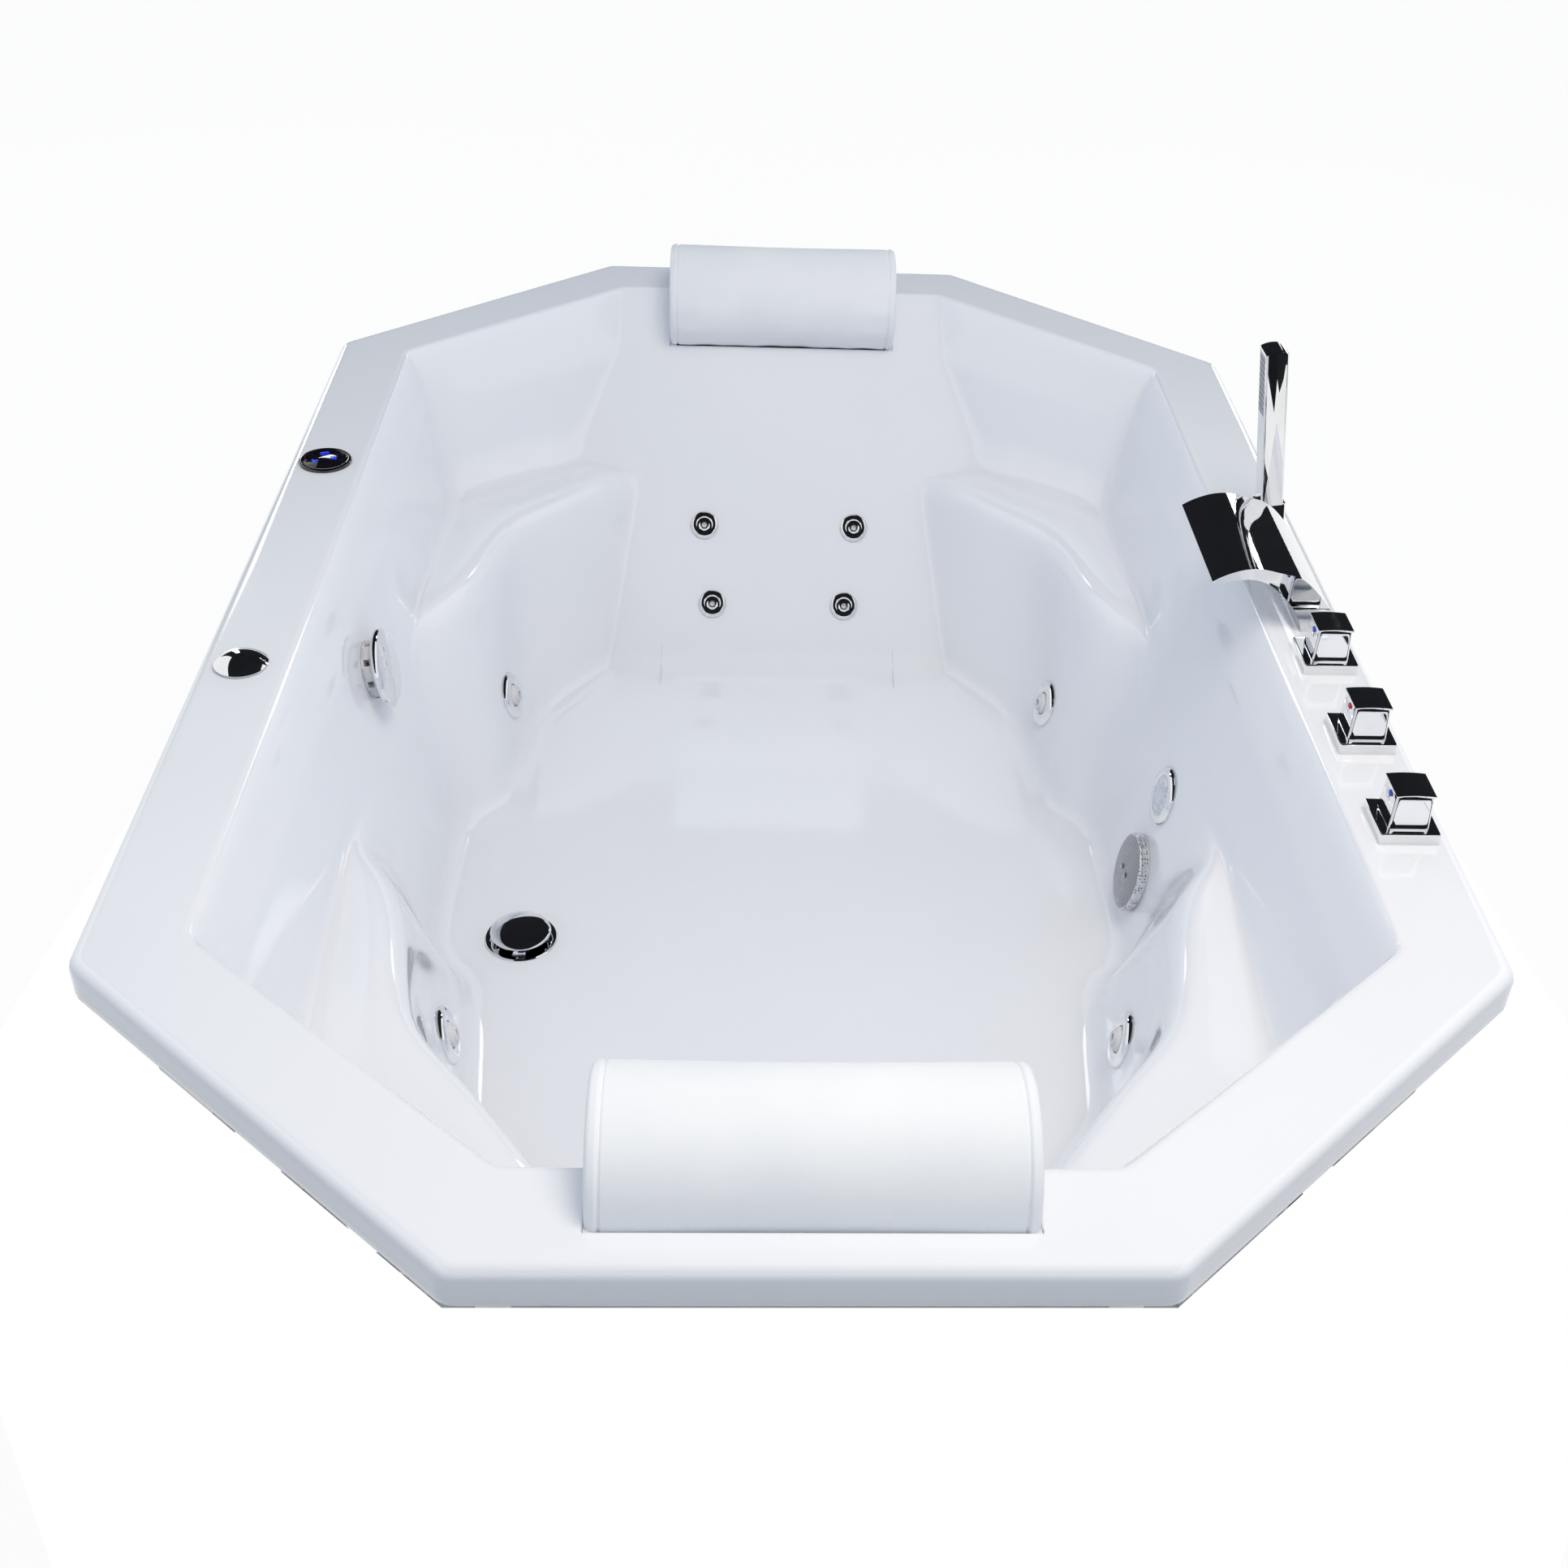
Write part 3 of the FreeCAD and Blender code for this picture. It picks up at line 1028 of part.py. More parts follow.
def support_frame():
    tubes = []
    h = TUBE / 2
    for sign in (-1, 1):
        x = sign * RAIL_X
        tubes.append(frame_tube(V(x, -HALF_L + h, RAIL_Z + h), V(x, HALF_L - h, RAIL_Z + h)))
        for end in (-1, 1):
            y = end * (HALF_L - TUBE)
            tubes.append(frame_tube(V(x, y, RAIL_Z + TUBE), V(x, y, DECK_UNDER)))
    for y, reach in cross_half().items():
        for end in (-1, 1):
            tubes.append(frame_tube(V(-reach, end * y, CROSS_Z + h), V(reach, end * y, CROSS_Z + h)))
    for y, x in ((SIDE_POST_Y, HALF_W - POST_INSET - h), (CORNER_POST_Y, CORNER_POST_X)):
        for end in (-1, 1):
            for sign in (-1, 1):
                tubes.append(frame_tube(V(sign * x, end * y, CROSS_Z + TUBE),
                                        V(sign * x, end * y, DECK_UNDER)))
    return tubes


def foot_places():
    places = []
    for end in (-1, 1):
        for sign in (-1, 1):
            places.append((sign * (HALF_W - POST_INSET - FOOT_INSET), end * SIDE_POST_Y, CROSS_Z))
            places.append((sign * RAIL_X, end * END_FOOT_Y, RAIL_Z))
    return places


def feet():
    feet_solids, nuts = [], []
    for x, y, top in foot_places():
        pad = turned([V(0, 0, 0), V(FOOT_R, 0, 0), V(FOOT_R, 0, FOOT_PAD * 0.5),
                      V(FOOT_R * 0.5, 0, FOOT_PAD), V(0, 0, FOOT_PAD)])
        foot = pad.fuse(Part.makeCylinder(FOOT_ROD_R, top - 1, V(0, 0, 1)))
        nut = hexagon(LOCK_NUT, top - LOCK_NUT_THICK,
                      top).cut(Part.makeCylinder(FOOT_ROD_R + SHAFT_GAP, 30, V(0, 0, top - 20)))
        for s in (foot, nut):
            s.translate(V(x, y, 0))
        feet_solids.append(foot)
        nuts.append(nut)
    return group(feet_solids), group(nuts)


def shelves():
    plates = []
    for sign in (-1, 1):
        y = sorted((sign * (SHELF_RAIL_Y - TUBE / 2), sign * (CORNER_POST_Y - TUBE / 2)))
        plates.append(box(SHELF_X[0], SHELF_X[1], y[0], y[1], RAIL_Z, RAIL_Z + SHELF_THICK))
    return plates


def pump_pieces():
    """Pump lying along Y: local +Z is its axis, from the fan end to the suction mouth."""
    front = 0.0
    volute_back = -VOLUTE_LENGTH
    motor_back = volute_back - 6 - MOTOR_LENGTH
    wall = VOLUTE_WALL
    volute = Part.makeCylinder(PUMP_R, VOLUTE_LENGTH, V(0, 0, volute_back))
    volute = volute.fuse(Part.makeCylinder(SUCTION_PIPE_R, 20, V(0, 0, 0)))
    up = V(0, 0, volute_back + 24)
    rise = WATER_Z - WATER_R - PUMP_Z
    volute = volute.fuse(rod(WATER_HOSE_R + 9, up, up + V(0, rise - 3, 0)))
    volute = volute.cut(Part.makeCylinder(PUMP_R - wall, VOLUTE_LENGTH - wall, V(0, 0, volute_back)))
    volute = volute.cut(Part.makeCylinder(SUCTION_PIPE_R - PIPE_WALL, 40, V(0, 0, -10)))
    volute = volute.cut(rod(WATER_HOSE_R + 6, up, up + V(0, rise, 0)))
    plate_back = Part.makeCylinder(PUMP_R, 6, V(0, 0, volute_back - 6))
    seal_bore = Part.makeCylinder(12.0, 20, V(0, 0, volute_back - 10))
    plate_back = plate_back.cut(seal_bore)
    seal = ring(12.0, SHAFT_R + SHAFT_GAP, volute_back - 6, volute_back + 3)
    impeller = ring(IMPELLER_R, SHAFT_R, volute_back + 8, volute_back + 11)
    impeller = impeller.fuse(ring(12.0, SHAFT_R, volute_back + 8, volute_back + 30))
    for k in range(6):
        vane = box(10, IMPELLER_R - 1, -1.5, 1.5, volute_back + 10, volute_back + 30)
        vane.rotate(V(0, 0, 0), Z, 60.0 * k)
        impeller = impeller.fuse(vane)
    shaft = Part.makeCylinder(SHAFT_R, volute_back + 30 - (motor_back - 18), V(0, 0, motor_back - 18))
    housing = ring(MOTOR_R, MOTOR_R - 4, motor_back, volute_back - 6)
    for k in range(20):
        fin = box(MOTOR_R - 1, MOTOR_R + 5, -1.2, 1.2, motor_back + 14, volute_back - 20)
        fin.rotate(V(0, 0, 0), Z, 18.0 * k)
        housing = housing.fuse(fin)
    shield = ring(MOTOR_R, 16.0, motor_back - 4, motor_back)
    housing = housing.fuse(shield)
    housing = housing.fuse(ring(MOTOR_R - 4, 16.0, volute_back - 24, volute_back - 20))
    bearings = [ring(16.0, SHAFT_R + SHAFT_GAP, motor_back - 4, motor_back + 6),
                ring(16.0, SHAFT_R + SHAFT_GAP, volute_back - 30, volute_back - 20)]
    housing = housing.cut([ring(16.0, SHAFT_R, motor_back - 4, motor_back + 6),
                           ring(16.0, SHAFT_R, volute_back - 30, volute_back - 20)])
    stator = ring(MOTOR_R - 4, ROTOR_R + 1, motor_back + 40, volute_back - 50)
    core = ring(ROTOR_R, SHAFT_R, motor_back + 42, volute_back - 52)
    fan = ring(14.0, SHAFT_R, motor_back - 17, motor_back - 7)
    for k in range(7):
        blade = box(12, 46, -1.5, 1.5, motor_back - 17, motor_back - 7)
        blade.rotate(V(0, 0, 0), Z, 360.0 * k / 7)
        fan = fan.fuse(blade)
    cover_end = motor_back - 4 - FAN_COVER_LENGTH
    cover = ring(MOTOR_R + 3, MOTOR_R, cover_end, motor_back - 4)
    cover = cover.fuse(Part.makeCylinder(MOTOR_R + 3, 2, V(0, 0, cover_end)))
    for k in range(12):
        slot = box(14, 50, -3, 3, cover_end - 1, cover_end + 3)
        slot.rotate(V(0, 0, 0), Z, 30.0 * k)
        cover = cover.cut(slot)
    base = RAIL_Z + SHELF_THICK - PUMP_Z
    foot = box(-48, 48, base, base + 5, motor_back + 20, volute_back - 40)
    for sign in (-1, 1):
        foot = foot.fuse(box(sign * 30 - 4, sign * 30 + 4, base, -40, motor_back + 40, volute_back - 60))
    foot = foot.cut(Part.makeCylinder(MOTOR_R - 2, 400, V(0, 0, -400)))
    housing = housing.fuse(foot).removeSplitter()
    parts = [volute, plate_back, impeller, shaft, housing, group(bearings + [seal]), stator, core, fan, cover]
    seat = frame_at(V(PUMP_X, PUMP_FRONT, PUMP_Z), V(0, 1, 0), Z)
    return [placed(p, seat) for p in parts], seat


# ---------------------------------------------------------------- build and save
save("tub_shell", tub_shell())
save("base_board", box(-BOARD_X, BOARD_X, -BOARD_Y, BOARD_Y, FLOOR_UNDER - BOARD_THICK, FLOOR_UNDER))
save("support_frame", group(support_frame()))
feet_group, nuts_group = feet()
save("levelling_feet", feet_group)
save("foot_lock_nuts", nuts_group)
save("equipment_shelves", group(shelves()))

save("pillows", group([bolster(end_sign * PILLOW_Y, 0) for _, end_sign in ENDS]))

jet_body, jet_ring, jet_nozzle = side_jet_body(), side_jet_ring(), side_jet_nozzle()
for name, seat in side_jet_seats.items():
    save("jet_nozzle_" + name, placed(jet_nozzle, seat))
back_body, back_face = back_jet_body(), back_jet_face()
side_seats = list(side_jet_seats.values())
save("jet_bodies", group([placed(jet_body, s) for s in side_seats] + [placed(back_body, s)
                                                                      for s in back_jet_seats]))
save("jet_faces", group([placed(jet_ring, s) for s in side_seats] + [placed(back_face, s)
                                                                     for s in back_jet_seats]))
nuts = [placed(back_nut(JET_BODY_R), s) for s in side_seats]
nuts += [placed(back_nut(BACK_JET_BODY_R), s) for s in back_jet_seats]
nuts += [placed(back_nut(LIGHT_BODY_R), light_seat), placed(back_nut(SUCTION_BODY_R), suction_seat),
         placed(back_nut(OVERFLOW_BODY_R), overflow_seat)]
for name, s in zip(("light_housing", "light_lens", "light_bezel"), light_pieces()):
    save(name, s)
suction_body, suction_cover, suction_screws = suction_pieces()
save("suction_body", placed(suction_body, suction_seat))
save("suction_cover", placed(suction_cover, suction_seat))
save("suction_screws", placed(suction_screws, suction_seat))
overflow_body, overflow_knob = overflow_pieces()
save("overflow_body", overflow_body)
save("overflow_knob", overflow_knob)
drain_flange, drain_cap, drain_body, drain_nut, drain_trap = drain_pieces()
nuts.append(drain_nut)
save("drain_flange", drain_flange)
save("drain_cap", drain_cap)
save("drain_body", drain_body)
save("drain_trap", drain_trap)

save("valve_plates", group([placed(plate(), s) for s in valve_seats]))
for name, seat in zip(("cold", "hot", "diverter"), valve_seats):
    save("handle_" + name, placed(handle(), seat))
pipes, stubs = mixing_pipes()
save("tap_pipes", group(pipes.Solids + stubs.Solids))
spout, spout_block, spout_seal = spout_pieces()
save("spout", placed(spout, spout_seat))
stick, spray, holder, holder_block = handset_pieces()
save("hand_shower", placed(stick, handset_seat))
save("spray_face", placed(spray, handset_seat))
save("hand_shower_holder", placed(holder, handset_seat))
blocks = [placed(spout_block, spout_seat), placed(holder_block, handset_seat)]
save("tap_bodies", group([placed(valve_body(), s) for s in valve_seats] + blocks))
nuts += [placed(deck_nut(38, VALVE_R), s) for s in valve_seats]
nuts += [placed(deck_nut(32, SHANK_R), spout_seat), placed(deck_nut(40, GUIDE_R), handset_seat),
              placed(deck_nut(44, DIAL_BODY_R), dial_seat)]
save("fitting_nuts", group(nuts))
for name, s in zip(("panel_bezel", "panel_case", "panel_glass"), panel_pieces()):
    save(name, placed(s, panel_seat))
dial_body, dial = dial_pieces()
save("air_control_body", placed(dial_body, dial_seat))
save("air_control_dial", placed(dial, dial_seat))

water_pipes, water_elbows = loop_run(run_corners(WATER_X, WATER_Y, WATER_DIAGONAL, WATER_Z), WATER_R,
                                     PIPE_WALL)
air_pipes, air_elbows = loop_run(run_corners(AIR_X, AIR_Y, AIR_DIAGONAL, AIR_Z), AIR_R, HOSE_WALL)
save("water_pipes", group(water_pipes))
save("air_pipes", group(air_pipes))
save("pipe_elbows", group(water_elbows + air_elbows))

water_hoses, air_hoses = [], []
for seat in side_jet_seats.values():
    start = at(seat, 0, JET_BODY_R + JET_BOSS, JET_WATER_Z)
    side = 1 if start.x > 0 else -1
    stop = V(side * (WATER_X - WATER_R + 2), start.y, WATER_Z)
    h = hose([start, stop], heading(seat, 0, 1, 0), V(side, 0, 0), WATER_HOSE_R, WATER_HOSE_R - HOSE_WALL)
    water_hoses.append(h.cut(rod(WATER_R, stop - V(0, 60, 0),
                                 stop + V(0, 60, 0)).translated(V(side * (WATER_R - 2), 0, 0))))
    start = at(seat, 0, 0, -JET_BODY_LENGTH - JET_BOSS)
    stop = V(side * AIR_X, start.y, AIR_Z - AIR_R + 1)
    mid = V(side * (WATER_X + 28), start.y, WATER_Z - 50)
    h = hose([start, mid, stop], heading(seat, 0, 0, -1), V(0, 0, 1), AIR_HOSE_R, AIR_HOSE_R - 1.5)
    air_hoses.append(h.cut(rod(AIR_R, V(side * AIR_X, start.y - 60, AIR_Z),
                               V(side * AIR_X, start.y + 60, AIR_Z))))
for seat in back_jet_seats:
    start = at(seat, 0, 0, -BACK_JET_LENGTH - JET_BOSS)
    side = 1 if start.y > 0 else -1
    centre = V(start.x, side * WATER_Y, WATER_Z)
    inward = (centre - start).normalize()
    stop = centre - inward * (WATER_R - 2)
    h = hose([start, stop], heading(seat, 0, 0, -1), inward, WATER_HOSE_R, WATER_HOSE_R - HOSE_WALL)
    water_hoses.append(h.cut(rod(WATER_R, V(start.x - 60, side * WATER_Y, WATER_Z),
                                 V(start.x + 60, side * WATER_Y, WATER_Z))))
save("water_hoses", group(water_hoses))
start = at(dial_seat, 0, 0, -DIAL_DEPTH)
stop = V(-AIR_X, DIAL_Y, AIR_Z + AIR_R - 1)
air_feed = hose([start, stop], V(0, 0, -1), V(0, 0, -1), AIR_R, AIR_R - HOSE_WALL)
air_hoses.append(air_feed.cut(rod(AIR_R, V(-AIR_X, DIAL_Y - 60, AIR_Z), V(-AIR_X, DIAL_Y + 60, AIR_Z))))
save("air_hoses", group(air_hoses))

branch = V(DRAIN_X - 0.91 * 46, DRAIN_Y + 0.4146 * 46, DRAIN_BRANCH_Z)
top = at(overflow_seat, 0, -28, OVERFLOW_PORT_Z)
route = [top, V(top.x, top.y, 300), V(top.x + 2, top.y - 3, 180),
         V(top.x + 52, -22, DRAIN_BRANCH_Z + 8), branch]
save("overflow_pipe", hose(route, heading(overflow_seat, 0, -1, 0), V(0.91, -0.4146, 0),
                           OVERFLOW_PIPE_R, OVERFLOW_PIPE_R - HOSE_WALL))

CABLE_R = 2.5
start = at(overflow_seat, -OVERFLOW_BODY_R, 0, -OVERFLOW_LENGTH + 6)
entry = V(0.6, 0.8, 0)
stop = V(DRAIN_X, DRAIN_Y, TRAP_Z[1] + 8) - entry * DRAIN_BODY_R
route = [start, V(start.x + 4, start.y - 16, 300), V(start.x + 30, start.y - 34, 170),
         V(stop.x - 90, stop.y - 8, stop.z + 12), stop]
cable = hose(route, heading(overflow_seat, -1, 0, 0), entry, CABLE_R, CABLE_R - 1.0)
save("pop_up_cable", cable)

pump_parts, pump_seat = pump_pieces()
pump_names = ("pump_volute", "pump_back_plate", "pump_impeller", "pump_shaft", "motor_case", "shaft_bearings",
              "motor_stator", "motor_core", "motor_fan", "fan_cover")
for name, s in zip(pump_names, pump_parts):
    save(name, s)
start = at(suction_seat, SUCTION_PORT, 0, SUCTION_PORT_Z)
stop = V(PUMP_X, PUMP_FRONT + 20, PUMP_Z)
save("suction_pipe", hose([start, stop], V(0, -1, 0), V(0, -1, 0), SUCTION_PIPE_R,
                          SUCTION_PIPE_R - PIPE_WALL))

z = RAIL_Z + SHELF_THICK
control_box = box(BOX_X[0], BOX_X[1], BOX_Y[0], BOX_Y[1], z, z + BOX_HEIGHT - BOX_WALL)
cavity = box(BOX_X[0] + BOX_WALL, BOX_X[1] - BOX_WALL, BOX_Y[0] + BOX_WALL, BOX_Y[1] - BOX_WALL,
             z + BOX_WALL, z + BOX_HEIGHT)
control_box = control_box.cut(cavity)
lid = box(BOX_X[0], BOX_X[1], BOX_Y[0], BOX_Y[1], z + BOX_HEIGHT - BOX_WALL, z + BOX_HEIGHT)
save("control_box", group([control_box, lid]))
for name, (point, normal) in seats.items():
    print(name, [round(c / 1000, 5) for c in point], [round(c, 5) for c in normal])
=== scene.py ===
"""Looks of the jetted bathtub: smooth acrylic shell, head pillows, chrome fittings, studio."""
import math
import bmesh
import bpy
import numpy as np
from mathutils import Matrix


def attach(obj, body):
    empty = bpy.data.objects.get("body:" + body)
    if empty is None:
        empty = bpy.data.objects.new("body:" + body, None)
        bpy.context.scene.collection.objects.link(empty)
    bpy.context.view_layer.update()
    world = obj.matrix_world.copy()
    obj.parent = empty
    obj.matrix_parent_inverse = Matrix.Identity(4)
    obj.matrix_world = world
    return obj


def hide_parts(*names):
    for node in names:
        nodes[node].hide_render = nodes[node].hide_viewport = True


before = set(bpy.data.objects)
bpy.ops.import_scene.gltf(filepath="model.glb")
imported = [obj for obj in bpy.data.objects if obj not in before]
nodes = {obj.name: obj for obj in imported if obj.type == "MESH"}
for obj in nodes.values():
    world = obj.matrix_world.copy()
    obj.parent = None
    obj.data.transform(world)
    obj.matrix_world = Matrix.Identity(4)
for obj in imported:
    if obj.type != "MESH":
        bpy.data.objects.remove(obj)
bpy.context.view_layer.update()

# ---------------------------------------------------------------- sizes, in metres
MM = 0.001
RIM = 0.600                                   # deck above the floor
HALF_W, HALF_L = 0.600, 0.950
INNER_X, INNER_Y = 0.506, 0.851               # inner edge of the deck
CORNER_X, CORNER_Y = 0.230, 0.603
OUTER_CORNER_X, OUTER_CORNER_Y = 0.258, 0.635
BASIN_DEPTH, SHELF_DEPTH, RIDGE_DEPTH = 0.447, 0.200, 0.072
BAND_SLOPE, WALL_SLOPE, BACK_LEAN = 0.305, 0.2, 0.745
LIP_DROP, ACRYLIC = 0.038, 0.006
CORNER_ROUND, RIM_ROUND = 0.022, 0.011
PILLOW_Y, PILLOW_Z, PILLOW_R, PILLOW_HALF = 0.842, 0.596, 0.072, 0.162
GAP, END_ROUND = 0.0004, 0.010                # the trough's clearance round its pillow, the round of its ends
DRAIN_X, DRAIN_Y = -0.312, -0.082
SUCTION_R, FLANGE = 47.5, 3.0                 # suction cover, in millimetres
SUCTION_PLACE, SUCTION_FACING = (0.42484, -0.042, 0.232), (-0.98049, 0, 0.19658)
MARKER_X, MARKER_Z = 0.5387, 0.6384           # middle of the round marker on every tap handle
MARKER_REACH = (0.0016, 0.0032, 0.0032)       # half the box round a marker
PANEL_TOP, LIGHT_TOP = 0.6029, 0.6032         # the panel's small lights stand this high
DOUBLED = 2e-6                                # points nearer than this are one


# ---------------------------------------------------------------- meshes
def add_mesh(name, points, faces, material, body="tub", smooth=True):
    """A mesh of points (n, 3) and faces, riding on a body."""
    mesh = bpy.data.meshes.new(name)
    mesh.from_pydata(np.asarray(points).tolist(), [], [list(f) for f in faces])
    mesh.polygons.foreach_set("use_smooth", np.full(len(mesh.polygons), smooth))
    mesh.materials.append(material)
    mesh.validate()
    obj = bpy.data.objects.new(name, mesh)
    bpy.context.scene.collection.objects.link(obj)
    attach(obj, body)
    return obj


def grid_faces(rows, columns, wrap=True):
    """Quads of a rows x columns grid of points, closed round the columns if wrap."""
    r = np.arange(rows - 1)[:, None]
    c = np.arange(columns if wrap else columns - 1)[None, :]
    n = (c + 1) % columns
    quads = np.stack([r * columns + c, r * columns + n, (r + 1) * columns + n, (r + 1) * columns + c], -1)
    return quads.reshape(-1, 4)


def weld(obj, outwards=False):
    """Merge the doubled points of a mesh in place and, if asked, point its faces outwards."""
    bm = bmesh.new()
    bm.from_mesh(obj.data)
    bmesh.ops.remove_doubles(bm, verts=bm.verts, dist=DOUBLED)
    if outwards:
        bmesh.ops.recalc_face_normals(bm, faces=bm.faces)
    bm.to_mesh(obj.data)
    bm.free()


def sharpen(obj, degrees=32.0):
    """Merge doubles, point the faces outwards and keep edges over an angle sharp."""
    weld(obj, outwards=True)
    obj.data.polygons.foreach_set("use_smooth", np.ones(len(obj.data.polygons), bool))
    obj.data.set_sharp_from_angle(angle=math.radians(degrees))
    return obj


def stacked(ring, rows):
    """A flat ring (n, 2), scaled by k and lifted to h for each (k, h) of the rows."""
    lift = np.ones((len(ring), 1))
    return np.concatenate([np.concatenate([ring * k, lift * h], 1) for k, h in rows])


def lathe(profile, segments=96):
    """Points (radius, height) turned about +Z; closed at the axis where the radius is nothing."""
    p = np.asarray(profile, float)
    a = np.linspace(0, 2 * np.pi, segments, endpoint=False)
    ring = np.stack([np.cos(a), np.sin(a)], -1)
    return stacked(ring, p), grid_faces(len(p), segments)


def seat_matrix(point, normal, up=(0, 0, 1)):
    """Local +Z along the normal, local +Y leaning to up, as the fittings are set in the wall."""
    n = np.asarray(normal, float) / np.linalg.norm(normal)
    x = np.cross(up, n)
    x = x / np.linalg.norm(x)
    y = np.cross(n, x)
    m = np.eye(4)
    m[:3, 0], m[:3, 1], m[:3, 2], m[:3, 3] = x, y, n, point
    return m


def moved(points, matrix):
    """Points taken through a 4 x 4 matrix."""
    return np.asarray(points) @ matrix[:3, :3].T + matrix[:3, 3]


def several(shapes):
    """Join (points, faces) pairs into one."""
    points, faces, base = [], [], 0
    for p, f in shapes:
        points.append(np.asarray(p))
        faces.append(np.asarray(f) + base)
        base += len(p)
    return np.concatenate(points), [q for f in faces for q in f.tolist()]


# ---------------------------------------------------------------- materials
def new_material(name):
    """A material with its nodes, its links and its Principled shader."""
    m = bpy.data.materials.new(name)
    m.use_nodes = True
    return m, m.node_tree.nodes, m.node_tree.links, m.node_tree.nodes["Principled BSDF"]


def finish_group():
    """Shared surface variation: cloudy tone and a fine bump, both from noise on Object coordinates."""
    g = bpy.data.node_groups.new("surface_variation", "ShaderNodeTree")
    for name, default in (("Scale", 8.0), ("Bump", 0.1), ("Fine Scale", 300.0)):
        s = g.interface.new_socket(name, in_out="INPUT", socket_type="NodeSocketFloat")
        s.default_value = default
    g.interface.new_socket("Cloud", in_out="OUTPUT", socket_type="NodeSocketFloat")
    g.interface.new_socket("Normal", in_out="OUTPUT", socket_type="NodeSocketVector")
    n, l = g.nodes, g.links
    gin, gout = n.new("NodeGroupInput"), n.new("NodeGroupOutput")
    coord = n.new("ShaderNodeTexCoord")
    cloud, fine = n.new("ShaderNodeTexNoise"), n.new("ShaderNodeTexNoise")
    bump = n.new("ShaderNodeBump")
    cloud.inputs["Detail"].default_value = 4.0
    fine.inputs["Detail"].default_value = 2.0
    bump.inputs["Distance"].default_value = 0.0004
    l.new(coord.outputs["Object"], cloud.inputs["Vector"])
    l.new(coord.outputs["Object"], fine.inputs["Vector"])
    l.new(gin.outputs["Scale"], cloud.inputs["Scale"])
    l.new(gin.outputs["Fine Scale"], fine.inputs["Scale"])
    l.new(gin.outputs["Bump"], bump.inputs["Strength"])
    l.new(fine.outputs["Fac"], bump.inputs["Height"])
    l.new(cloud.outputs["Fac"], gout.inputs["Cloud"])
    l.new(bump.outputs["Normal"], gout.inputs["Normal"])
    return g


VARIATION = finish_group()


def finish(name, low, high, rough=(0.1, 0.2), metallic=0.0, scale=8.0, bump=0.1, fine=300.0,
           coat=0.0, ior=1.5):
    """A finish whose tone and roughness drift between two values, with a fine bump."""
    m, n, l, p = new_material(name)
    g = n.new("ShaderNodeGroup")
    g.node_tree = VARIATION
    g.inputs["Scale"].default_value = scale
    g.inputs["Bump"].default_value = bump
    g.inputs["Fine Scale"].default_value = fine
    tone = n.new("ShaderNodeValToRGB")
    tone.color_ramp.elements[0].position, tone.color_ramp.elements[1].position = 0.35, 0.65
    tone.color_ramp.elements[0].color = (*low, 1)
    tone.color_ramp.elements[1].color = (*high, 1)
    gloss = n.new("ShaderNodeMapRange")
    gloss.inputs["From Min"].default_value, gloss.inputs["From Max"].default_value = 0.3, 0.7
    gloss.inputs["To Min"].default_value, gloss.inputs["To Max"].default_value = rough
    l.new(g.outputs["Cloud"], tone.inputs["Fac"])
    l.new(g.outputs["Cloud"], gloss.inputs["Value"])
    l.new(tone.outputs["Color"], p.inputs["Base Color"])
    l.new(gloss.outputs["Result"], p.inputs["Roughness"])
    if bump:
        l.new(g.outputs["Normal"], p.inputs["Normal"])
    p.inputs["Metallic"].default_value = metallic
    p.inputs["Coat Weight"].default_value = coat
    p.inputs["Coat Roughness"].default_value = 0.03
    p.inputs["IOR"].default_value = ior
    return m


ACRYLIC_WHITE = finish("acrylic_white", (0.835, 0.860, 0.915), (0.853, 0.876, 0.926),
                       rough=(0.07, 0.12), scale=3.0, bump=0.0, coat=0.35)
PILLOW_VINYL = finish("pillow_vinyl", (0.83, 0.86, 0.90), (0.87, 0.895, 0.93),
                      rough=(0.42, 0.5), scale=10.0, bump=0.25, fine=900.0)
CHROME = finish("chrome_plate", (0.80, 0.81, 0.83), (0.86, 0.87, 0.88),
                rough=(0.02, 0.05), metallic=1.0, scale=20.0, bump=0.0)
WHITE_PLASTIC = finish("moulded_white_plastic", (0.70, 0.72, 0.75), (0.76, 0.77, 0.79),
                       rough=(0.3, 0.4), scale=25.0, bump=0.15)
PIPE_PLASTIC = finish("pressure_pipe_plastic", (0.66, 0.67, 0.66), (0.74, 0.74, 0.73),
                      rough=(0.3, 0.42), scale=12.0, bump=0.1)
HOSE_PLASTIC = finish("soft_hose_plastic", (0.52, 0.57, 0.60), (0.62, 0.66, 0.68),
                      rough=(0.25, 0.4), scale=14.0, bump=0.1)
BLACK_PLASTIC = finish("black_moulded_plastic", (0.018, 0.018, 0.02), (0.035, 0.035, 0.04),
                       rough=(0.35, 0.5), scale=30.0, bump=0.3)
FRAME_STEEL = finish("galvanised_frame_steel", (0.50, 0.51, 0.52), (0.66, 0.67, 0.68),
                     rough=(0.32, 0.5), metallic=0.8, scale=35.0, bump=0.2)
BRIGHT_STEEL = finish("bright_steel", (0.55, 0.55, 0.56), (0.68, 0.68, 0.69),
                      rough=(0.22, 0.34), metallic=1.0, scale=40.0, bump=0.1)
BRASS = finish("cast_brass", (0.55, 0.38, 0.14), (0.68, 0.50, 0.22),
               rough=(0.25, 0.4), metallic=1.0, scale=30.0, bump=0.2)
MOTOR_PAINT = finish("motor_paint", (0.05, 0.055, 0.06), (0.09, 0.095, 0.10),
                     rough=(0.35, 0.5), scale=25.0, bump=0.3)
IRON = finish("laminated_iron", (0.16, 0.15, 0.14), (0.26, 0.25, 0.24),
              rough=(0.45, 0.6), metallic=0.8, scale=60.0, bump=0.4)
